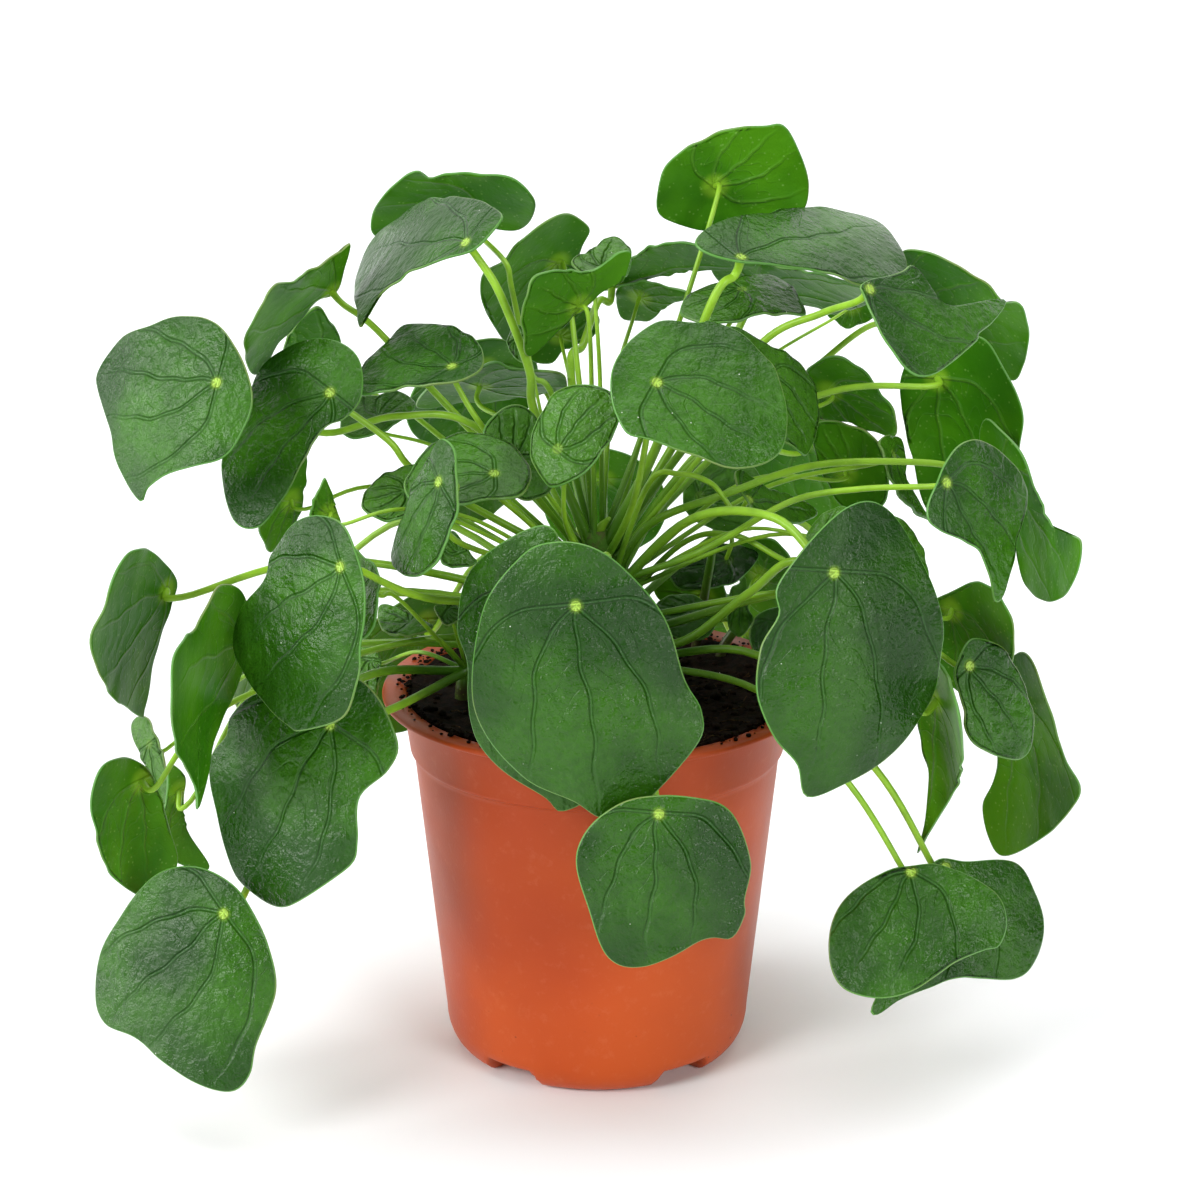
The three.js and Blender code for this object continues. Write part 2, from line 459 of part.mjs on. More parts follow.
// Rise of a blade above the plane at its stalk: it droops outward, waves a little and
// folds along its midrib
function rise(x, y, form) {
  const turns = Math.sin(WAVES * Math.atan2(y, x) + form.phase);
  const wave = WAVE * turns * (x * x + y * y);
  const droop = DROOP_ALONG * x * x + DROOP_ACROSS * y * y;
  const fold = form.fold * (Math.hypot(y, FOLD_ROUND) - FOLD_ROUND);
  return (wave - droop) / (BLADE_RADIUS * BLADE_RADIUS) - fold;
}

// A pixel of the outline, moved onto the blade: its place in the blade's own plane
function ontoBlade(pixel, at, axes, form) {
  const line = sightLine(pixel);
  let height = 0;
  let x = 0;
  let y = 0;
  for (let round = 0; round < ONTO_BLADE_ROUNDS; round += 1) {
    const origin = at.clone().addScaledVector(axes.normal, height);
    const reach = origin.sub(eye).dot(axes.normal) / line.dot(axes.normal);
    const spot = eye.clone().addScaledVector(line, reach).sub(at);
    x = spot.dot(axes.downhill);
    y = spot.dot(axes.side);
    height = (height + rise(x, y, form)) / 2;
  }
  return new THREE.Vector3(x, y, 0);
}

// A leaf seen in the photograph: its place, axes and outline
function seenLeaf(leaf, index) {
  const at = placeAt(leaf.stalk, leaf.depth);
  const axes = bladeAxes(leaf.face);
  const form = { phase: WAVE_TURN * index, fold: leaf.fold ?? 0 };
  const edge = leaf.edge.map((pixel) => ontoBlade(pixel, at, axes, form));
  const via = leaf.via.map(([u, v, depth]) => placeAt([u, v], depth));
  return { from: leaf.from, at, axes, form, edge, via, rings: LARGE_RINGS };
}

// A leaf on the far side: an oval blade
function farLeaf(leaf, index) {
  const axes = bladeAxes(leaf.face);
  const turn = THREE.MathUtils.degToRad(leaf.tip);
  const edge = [];
  for (let step = 0; step < OVAL_POINTS; step += 1) {
    const angle = (2 * Math.PI * step) / OVAL_POINTS;
    const along = leaf.inset + (leaf.length / 2) * Math.cos(angle);
    const across = (leaf.width / 2) * Math.sin(angle);
    const x = along * Math.cos(turn) - across * Math.sin(turn);
    const y = along * Math.sin(turn) + across * Math.cos(turn);
    edge.push(new THREE.Vector3(x, y, 0));
  }
  const via = leaf.via.map((place) => new THREE.Vector3(...place));
  const form = { phase: WAVE_TURN * (LEAVES.length + index), fold: 0 };
  const at = new THREE.Vector3(...leaf.at);
  return { from: "trunk", at, axes, form, edge, via, rings: FAR_RINGS };
}

// A closed solid from vertices and faces
function geometryOf(vertices, faces) {
  const geometry = new THREE.BufferGeometry();
  geometry.setAttribute("position", new THREE.Float32BufferAttribute(vertices.flat(), 3));
  geometry.setIndex(faces.flat());
  return geometry;
}

// A blade: rings from its middle out to its edge, the same on the upper and lower face
function blade(leaf, segments, rings, thickness) {
  const curve = new THREE.CatmullRomCurve3(leaf.edge, true, "catmullrom");
  const rim = curve.getSpacedPoints(segments).slice(0, segments);
  const middle = new THREE.Vector3();
  rim.forEach((spot) => middle.addScaledVector(spot, 1 / segments));
  const spots = [middle];
  for (const fraction of rings) {
    rim.forEach((spot) => spots.push(middle.clone().lerp(spot, fraction)));
  }
  const vertices = [];
  for (const half of [thickness / 2, -thickness / 2]) {
    for (const spot of spots) {
      const place = leaf.at.clone().addScaledVector(leaf.axes.downhill, spot.x);
      place.addScaledVector(leaf.axes.side, spot.y);
      place.addScaledVector(leaf.axes.normal, rise(spot.x, spot.y, leaf.form) + half);
      vertices.push(place.toArray());
    }
  }
  const faces = [];
  const lower = spots.length;
  const addBoth = (a, b, c) => {
    faces.push([a, b, c]);
    faces.push([lower + a, lower + c, lower + b]);
  };
  for (let step = 0; step < segments; step += 1) {
    const next = (step + 1) % segments;
    addBoth(0, 1 + step, 1 + next);
    for (let ring = 1; ring < rings.length; ring += 1) {
      const inner = 1 + (ring - 1) * segments;
      const outer = inner + segments;
      addBoth(inner + step, outer + step, outer + next);
      addBoth(inner + step, outer + next, inner + next);
    }
    const rimStart = 1 + (rings.length - 1) * segments;
    faces.push([rimStart + step, lower + rimStart + step, lower + rimStart + next]);
    faces.push([rimStart + step, lower + rimStart + next, rimStart + next]);
  }
  // An outline that was read clockwise turns the solid inside out
  const turned = signedArea(rim) < 0 ? faces.map(([a, b, c]) => [a, c, b]) : faces;
  return geometryOf(vertices, turned);
}

function signedArea(rim) {
  let area = 0;
  rim.forEach((spot, index) => {
    const next = rim[(index + 1) % rim.length];
    area += (spot.x * next.y - next.x * spot.y) / 2;
  });
  return area;
}

// A round stem along a list of points, closed at both ends
function stem(points, radii, sides) {
  const vertices = [];
  const faces = [];
  let across = new THREE.Vector3(...FIRST_CORNER);
  points.forEach((point, index) => {
    const before = points[Math.max(index - 1, 0)];
    const after = points[Math.min(index + 1, points.length - 1)];
    const along = after.clone().sub(before).normalize();
    across = across.clone().addScaledVector(along, -across.dot(along)).normalize();
    const other = new THREE.Vector3().crossVectors(along, across);
    for (let side = 0; side < sides; side += 1) {
      const angle = (2 * Math.PI * side) / sides;
      const spot = point.clone().addScaledVector(across, radii[index] * Math.cos(angle));
      spot.addScaledVector(other, radii[index] * Math.sin(angle));
      vertices.push(spot.toArray());
    }
  });
  for (let ring = 0; ring < points.length - 1; ring += 1) {
    for (let side = 0; side < sides; side += 1) {
      const a = ring * sides + side;
      const b = ring * sides + ((side + 1) % sides);
      faces.push([a, b, b + sides]);
      faces.push([a, b + sides, a + sides]);
    }
  }
  const last = (points.length - 1) * sides;
  for (let side = 1; side < sides - 1; side += 1) {
    faces.push([0, side + 1, side]);
    faces.push([last, last + side, last + side + 1]);
  }
  return geometryOf(vertices, faces);
}

// Where a leaf's stalk starts: on the trunk by the leaf's height, or on its young shoot
function jointOf(leaf) {
  const shoot = SHOOTS[leaf.from];
  const head = new THREE.Vector3(...shoot.head);
  if (leaf.from !== "trunk") {
    return head.setZ(head.z - HEAD_DEPTH);
  }
  const wanted = LOWEST_JOINT + JOINT_SPREAD * (leaf.at.z - LOWEST_LEAF);
  const height = THREE.MathUtils.clamp(wanted, LOWEST_JOINT, head.z - HEAD_DEPTH);
  const foot = new THREE.Vector3(...shoot.foot, SOIL_TOP);
  const joint = foot.lerp(head, (height - SOIL_TOP) / (head.z - SOIL_TOP));
  const outward = leaf.via[0].clone().sub(joint).setZ(0).normalize();
  return joint.addScaledVector(outward, JOINT_DEPTH);
}

// A leaf stalk, from its joint through its neck to the middle of the blade's thickness
function leafStalk(leaf, stepsPerSpan, sides) {
  const neck = leaf.at.clone().addScaledVector(leaf.axes.normal, -STALK_NECK);
  const stops = [jointOf(leaf), ...leaf.via, neck, leaf.at];
  const curve = new THREE.CatmullRomCurve3(stops, false, "catmullrom");
  const spans = stops.length - 1;
  const points = [];
  for (let step = 0; step <= stepsPerSpan * (spans - 1); step += 1) {
    points.push(curve.getPoint(step / stepsPerSpan / spans));
  }
  points.push(leaf.at);
  const span = Math.max(...leaf.edge.map((spot) => spot.length()));
  const radius = Math.min(STALK_THICKEST, STALK_THINNEST + span / STALK_GROWTH);
  const last = points.length - 1;
  return stem(points, points.map((_, index) => radius * (1 - (STALK_TAPER * index) / last)), sides);
}

// A turned solid about the z axis, from a profile that starts and ends on the axis
function turned(profile, segments, lift) {
  const vertices = [];
  const rings = profile.map(([radius, height]) => {
    const start = vertices.length;
    const count = radius === 0 ? 1 : segments;
    for (let step = 0; step < count; step += 1) {
      const angle = (2 * Math.PI * step) / segments;
      const place = [radius * Math.cos(angle), radius * Math.sin(angle)];
      vertices.push([...place, height + lift(place[0], place[1], height)]);
    }
    return { start, count };
  });
  const faces = [];
  for (let ring = 0; ring < rings.length - 1; ring += 1) {
    const { start: low, count: lowCount } = rings[ring];
    const { start: high, count: highCount } = rings[ring + 1];
    for (let step = 0; step < segments; step += 1) {
      const next = (step + 1) % segments;
      if (lowCount > 1) {
        faces.push([low + step, low + next, high + (next % highCount)]);
      }
      if (highCount > 1) {
        faces.push([low + (step % lowCount), high + next, high + step]);
      }
    }
  }
  return geometryOf(vertices, faces);
}

// Join and cut
function solid(geometry) {
  const vertProperties = geometry.getAttribute("position").array;
  const triVerts = new Uint32Array(geometry.getIndex().array);
  return new wasm.Manifold(new wasm.Mesh({ numProp: 3, vertProperties, triVerts }));
}

function geometryFrom(manifold) {
  const mesh = manifold.getMesh();
  const geometry = new THREE.BufferGeometry();
  geometry.setAttribute("position", new THREE.BufferAttribute(mesh.vertProperties, 3));
  geometry.setIndex(new THREE.BufferAttribute(mesh.triVerts, 1));
  return geometry;
}

const level = () => 0;

// The inside of the pot, from the floor to the mouth, drawn in by a gap for the soil
function insideProfile(gap) {
  return [
    [BODY_FOOT_RADIUS - WALL - FLOOR_ROUND - gap, FLOOR_TOP],
    [BODY_FOOT_RADIUS - WALL - gap, FLOOR_TOP + FLOOR_ROUND],
    [BAND_FOOT_RADIUS - STEP_WIDTH - WALL - gap, STEP_HEIGHT + WALL],
    [BAND_FOOT_RADIUS - WALL - gap, STEP_HEIGHT + 2 * WALL],
  ];
}

function pot() {
  const mouth = BAND_TOP_RADIUS - WALL;
  const outside = [
    [0, 0],
    [PAD_RADIUS, 0],
    [PAD_RADIUS + PAD_SLOPE, RECESS_TOP],
    [FOOT_INNER_RADIUS, RECESS_TOP],
    [FOOT_INNER_RADIUS + FOOT_SLOPE, 0],
    [FOOT_RADIUS, 0],
    [FOOT_RADIUS + FOOT_ROUND[0], FOOT_ROUND[1]],
    [BODY_FOOT_RADIUS - BODY_ROUND[0], BODY_ROUND[1]],
    [BODY_FOOT_RADIUS, BODY_FOOT_HEIGHT],
    [BAND_FOOT_RADIUS - STEP_WIDTH, STEP_HEIGHT - STEP_SLOPE],
    [BAND_FOOT_RADIUS, STEP_HEIGHT],
    [BAND_TOP_RADIUS, POT_HEIGHT - LIP_THICKNESS - LIP_FILLET[1]],
    [BAND_TOP_RADIUS + LIP_FILLET[0], POT_HEIGHT - LIP_THICKNESS],
    [LIP_RADIUS - LIP_ROUND, POT_HEIGHT - LIP_THICKNESS],
    [LIP_RADIUS, POT_HEIGHT - LIP_THICKNESS / 2],
    [LIP_RADIUS - LIP_ROUND, POT_HEIGHT],
    [mouth, POT_HEIGHT - LIP_ROUND],
  ];
  const profile = [...outside, ...insideProfile(0).reverse(), [0, FLOOR_TOP]];
  let body = solid(turned(profile, POT_SEGMENTS, level));
  const reach = BODY_FOOT_RADIUS - FOOT_INNER_RADIUS + 2 * CUT_MARGIN;
  const gapWidth = 2 * FOOT_RADIUS * Math.tan(THREE.MathUtils.degToRad(FOOT_GAP / 2));
  for (let foot = 0; foot < FOOT_COUNT; foot += 1) {
    // The middle of one foot faces the viewer, so the gaps stand half a pitch beside it
    const bearing = -Math.PI / 2 + (2 * Math.PI * (foot + 0.5)) / FOOT_COUNT;
    const gap = new THREE.BoxGeometry(reach, gapWidth, 2 * FOOT_GAP_HEIGHT);
    gap.deleteAttribute("normal");
    gap.deleteAttribute("uv");
    gap.translate(FOOT_INNER_RADIUS - CUT_MARGIN + reach / 2, 0, 0);
    gap.rotateZ(bearing);
    const under = new THREE.Vector3(DRAIN_PLACE, 0, RECESS_TOP - CUT_MARGIN);
    const over = new THREE.Vector3(DRAIN_PLACE, 0, FLOOR_TOP + CUT_MARGIN);
    const drain = stem([under, over], [DRAIN_RADIUS, DRAIN_RADIUS], HOLE_SEGMENTS);
    drain.rotateZ(bearing);
    body = body.subtract(solid(mergeVertices(gap))).subtract(solid(drain));
  }
  return geometryFrom(body);
}

// Soil: a plug that fills the pot, uneven on top, with a plain hole for each stem
function soil() {
  const side = insideProfile(SOIL_GAP);
  const topRadius = side[side.length - 1][0];
  const profile = [
    [0, FLOOR_TOP],
    ...side,
    [topRadius + SOIL_FLARE, SOIL_TOP],
    [topRadius * SOIL_INNER_RING, SOIL_TOP],
    [0, SOIL_TOP],
  ];
  const uneven = (x, y, height) => {
    if (height < SOIL_TOP) {
      return 0;
    }
    const lumps = Math.sin(x / SOIL_LUMPS[0] + 1) * Math.cos(y / SOIL_LUMPS[1]);
    return SOIL_RISE * lumps - SOIL_SLOPE * (x + y);
  };
  let plug = solid(turned(profile, POT_SEGMENTS, uneven));
  for (const shoot of Object.values(SHOOTS)) {
    const radius = shoot.footRadius + HOLE_GAP;
    const bottom = new THREE.Vector3(...shoot.foot, SOIL_TOP - SOIL_HOLE_DEPTH);
    const top = bottom.clone().setZ(SOIL_TOP + CUT_MARGIN);
    plug = plug.subtract(solid(stem([bottom, top], [radius, radius], HOLE_SEGMENTS)));
  }
  return geometryFrom(plug);
}

function largeBlade(leaf, thickness) {
  const span = Math.max(...leaf.edge.map((spot) => spot.length()));
  const segments = span > WIDE_BLADE ? WIDE_SEGMENTS : LARGE_SEGMENTS;
  return blade(leaf, segments, leaf.rings, thickness);
}

// A stalk up to the underside of its blade, without the tip that the blade cuts off
function trimmedStalk(leaf) {
  const room = solid(largeBlade(leaf, BLADE_THICKNESS + 2 * STALK_GAP));
  const lengths = solid(leafStalk(leaf, LARGE_STEPS, STALK_SIDES)).subtract(room).decompose();
  return lengths.reduce((longest, length) => (length.volume() > longest.volume() ? length : longest));
}

// The trunk and its shoots with every leaf stalk and the young leaves. Stalks of the
// same shoot lean on one another, so all of it is one body.
function stems(leaves, young) {
  let body = null;
  const join = (piece) => {
    body = body ? body.add(piece) : piece;
  };
  for (const shoot of Object.values(SHOOTS)) {
    const bottom = new THREE.Vector3(...shoot.foot, SOIL_TOP - SOIL_HOLE_DEPTH);
    const collar = bottom.clone().setZ(SOIL_TOP + COLLAR_HEIGHT);
    const head = new THREE.Vector3(...shoot.head);
    const radii = [shoot.footRadius, shoot.footRadius, shoot.headRadius];
    join(solid(stem([bottom, collar, head], radii, SHOOT_SIDES)));
  }
  for (const leaf of leaves) {
    join(trimmedStalk(leaf));
  }
  for (const leaf of young) {
    join(solid(leafStalk(leaf, YOUNG_STEPS, YOUNG_SIDES)));
    join(solid(blade(leaf, YOUNG_SEGMENTS, YOUNG_RINGS, BLADE_THICKNESS)));
  }
  return body;
}

function addPiece(group, name, geometry, color, roughness) {
  const plain = geometry.index ? geometry.toNonIndexed() : geometry;
  plain.computeVertexNormals();
  const material = new THREE.MeshStandardMaterial({ color, roughness, flatShading: true });
  const mesh = new THREE.Mesh(plain, material);
  mesh.name = name;
  group.add(mesh);
}

const plant = new THREE.Group();
plant.name = "potted_pilea";
addPiece(plant, "pot", pot(), 0xbc4a22, 0.45);
addPiece(plant, "soil", soil(), 0x2a1c15, 0.95);

const leaves = [...LEAVES.map(seenLeaf), ...FAR_LEAVES.map(farLeaf)];
const young = YOUNG_LEAVES.map(seenLeaf);
addPiece(plant, "stems", geometryFrom(stems(leaves, young)), 0x7da43c, 0.5);
leaves.forEach((leaf, index) => {
  const name = `leaf_${String(index + 1).padStart(2, "0")}`;
  addPiece(plant, name, largeBlade(leaf, BLADE_THICKNESS), 0x2f6b2a, 0.35);
});

export default plant;
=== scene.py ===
"""Looks of the potted pilea: fine leaves, leaf stalks, trunk, pot and soil around its frame.

Places and lengths are millimetres in the frame's own axes unless a name or comment says
otherwise. They become metres when an object is made. The leaf places, outlines and stalk
routes are the part's own.
"""

import bpy
import numpy as np
from bpy.props import FloatProperty, FloatVectorProperty, IntProperty, PointerProperty
from mathutils import Color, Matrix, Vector, noise


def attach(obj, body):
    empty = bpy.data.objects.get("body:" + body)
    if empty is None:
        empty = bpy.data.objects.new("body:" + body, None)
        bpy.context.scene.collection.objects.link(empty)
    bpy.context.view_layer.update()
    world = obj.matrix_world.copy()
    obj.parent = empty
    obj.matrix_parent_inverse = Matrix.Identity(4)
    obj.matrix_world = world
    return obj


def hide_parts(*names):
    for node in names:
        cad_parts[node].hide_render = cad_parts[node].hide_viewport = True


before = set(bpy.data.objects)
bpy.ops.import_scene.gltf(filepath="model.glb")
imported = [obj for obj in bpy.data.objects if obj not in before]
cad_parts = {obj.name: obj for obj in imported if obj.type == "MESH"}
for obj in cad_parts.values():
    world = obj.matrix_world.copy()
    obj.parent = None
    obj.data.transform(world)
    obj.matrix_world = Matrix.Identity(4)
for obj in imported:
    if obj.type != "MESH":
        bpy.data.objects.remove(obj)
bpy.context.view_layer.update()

bl_info = {
    "name": "Potted Pilea",
    "version": (1, 0, 0),
    "blender": (4, 5, 0),
    "location": "View3D > Sidebar > Pilea",
    "description": "Builds a potted pilea: leaves, stalks, pot, soil and a plain stage",
    "category": "Object",
}

MM = 0.001

# The photograph's viewpoint: width of the frame and focal length in pixels, distance in mm
# and tilt below level
FRAME_PIXELS = 1200
FOCAL_PIXELS = 3000
VIEW_DISTANCE = 832
VIEW_TILT = np.radians(18)
VIEW_TARGET = np.array([0.87, 0, 131.6])
SENSOR_MM = 36
# The nearest and the farthest that the camera sees, in metres
CAMERA_CLIP = (0.05, 50)

# Shoots: foot and head of the trunk and of the three young shoots beside it, and radii
SHOOTS = {
    "trunk": {"foot": (4, 0), "head": (0, 6, 150), "foot_radius": 6, "head_radius": 3.6},
    "left": {"foot": (-37, -6), "head": (-36, -6, 114), "foot_radius": 2.8, "head_radius": 2.2},
    "right": {"foot": (29, 37), "head": (34, 23, 146), "foot_radius": 1.5, "head_radius": 1.1},
    "small": {"foot": (36, 30), "head": (43, 28, 118), "foot_radius": 1.6, "head_radius": 1.3},
}
SOIL_TOP = 105
SHOOT_DEPTH = 13
SHOOT_STEPS = 14
SHOOT_SIDES = 20
# Rings of thickening at old leaf joints: share of the radius, closeness and narrowness
SCAR = 0.06
SCAR_TURN = 1.7
SCAR_POWER = 4

# Leaf stalks leave the trunk higher, the higher their leaf hangs
LOWEST_JOINT = 112
LOWEST_LEAF = 60
JOINT_SPREAD = 0.2
JOINT_DEPTH = 2.2
JOINT_BELOW_HEAD = 1
STALK_NECK = 6
STALK_THICKEST = 1.5
STALK_THINNEST = 0.45
STALK_GROWTH = 60
STALK_TAPER = 0.25
STALK_STEPS = 9
STALK_SIDES = 12

# Blades: how far they droop along and across and wave, at 30 mm from the stalk
BLADE_RADIUS = 30
DROOP_ALONG = 2
DROOP_ACROSS = 3
WAVE = 0.8
WAVES = 3
WAVE_TURN = 2.4
FOLD_ROUND = 4
# Rounds in which a pixel is brought onto the waved blade
AIM_ROUNDS = 5
OVAL_POINTS = 12
OUTLINE_STEPS = 16
# The rounded rim: distance in from the edge and share of the thickness left there
RIM_STEPS = ((0.8, 1), (0.3, 0.85), (0.07, 0.5))
# Small waves of the edge: large ones, fine ones and the height of these. The higher the
# power, the nearer they stay to the edge.
CRIMPS = 7
FINE_CRIMPS = 12
FINE_CRIMP = 0.6
CRIMP_POWER = 5
# Relief of the veins, in shares of the blade's length: where the swelling starts and where
# all of it fades. It also ends at the rim, and more sharply the higher the power.
SWELL_START = (0.06, 0.25)
RELIEF_FADE = (0.55, 1.05)
RELIEF_POWER = 6
# Segments and rings of a young blade
YOUNG_STEPS = (56, 7)

# Main veins, in shares of the blade's length: how far out the inner pair runs, the length
# over which it bends, its slope at the stalk, where the outer pair starts and how it bends
INNER_PAIR = 0.31
PAIR_BEND = 0.25
PAIR_SLOPE = 1.25
OUTER_START = 0.2
OUTER_BEND = 2.6
OUTER_SLOPE = 27
# Side veins in one blade length, from the middle vein and from the inner pair
MIDDLE_SIDES = 6.5
INNER_SIDES = 5.2

# A direction that no stem runs in, where the sides of a tube start
SIDEWAYS = (0.3, 0.9, 0.1)

# Pot
LIP_RADIUS = 60
POT_HEIGHT = 106.5
LIP_THICKNESS = 1.8
BAND_TOP_RADIUS = 54.4
BAND_FOOT_RADIUS = 52.5
STEP_HEIGHT = 90
STEP_WIDTH = 1.1
BODY_FOOT_RADIUS = 43.3
BODY_FOOT_HEIGHT = 10.8
FOOT_RADIUS = 35.3
FOOT_INNER_RADIUS = 29
WALL = 1.5
FLOOR_TOP = 8
RECESS_TOP = 4
PAD_RADIUS = 14
FOOT_COUNT = 5
# Width in degrees of the gaps in the foot ring, and their height
FOOT_GAP = 22
FOOT_GAP_HEIGHT = 6
DRAIN_RADIUS = 2.6
DRAIN_PLACE = 21.5
DRAIN_SIDES = 24


def leaf(stalk, depth, face, fold, shade, via, edge, shoot="trunk"):
    """A leaf seen in the photograph: stalk, via and edge in pixels, depth is its y."""
    return {"shoot": shoot, "stalk": stalk, "depth": depth, "face": face, "via": via,
            "edge": edge, "fold": fold, "shade": shade}


def far_leaf(at, face, tip, length, width, inset, via):
    """A leaf on the far side, an oval blade given in millimetres and degrees."""
    return {"shoot": "trunk", "at": at, "face": face, "tip": tip, "length": length,
            "width": width, "inset": inset, "via": via, "fold": 0, "shade": 0}


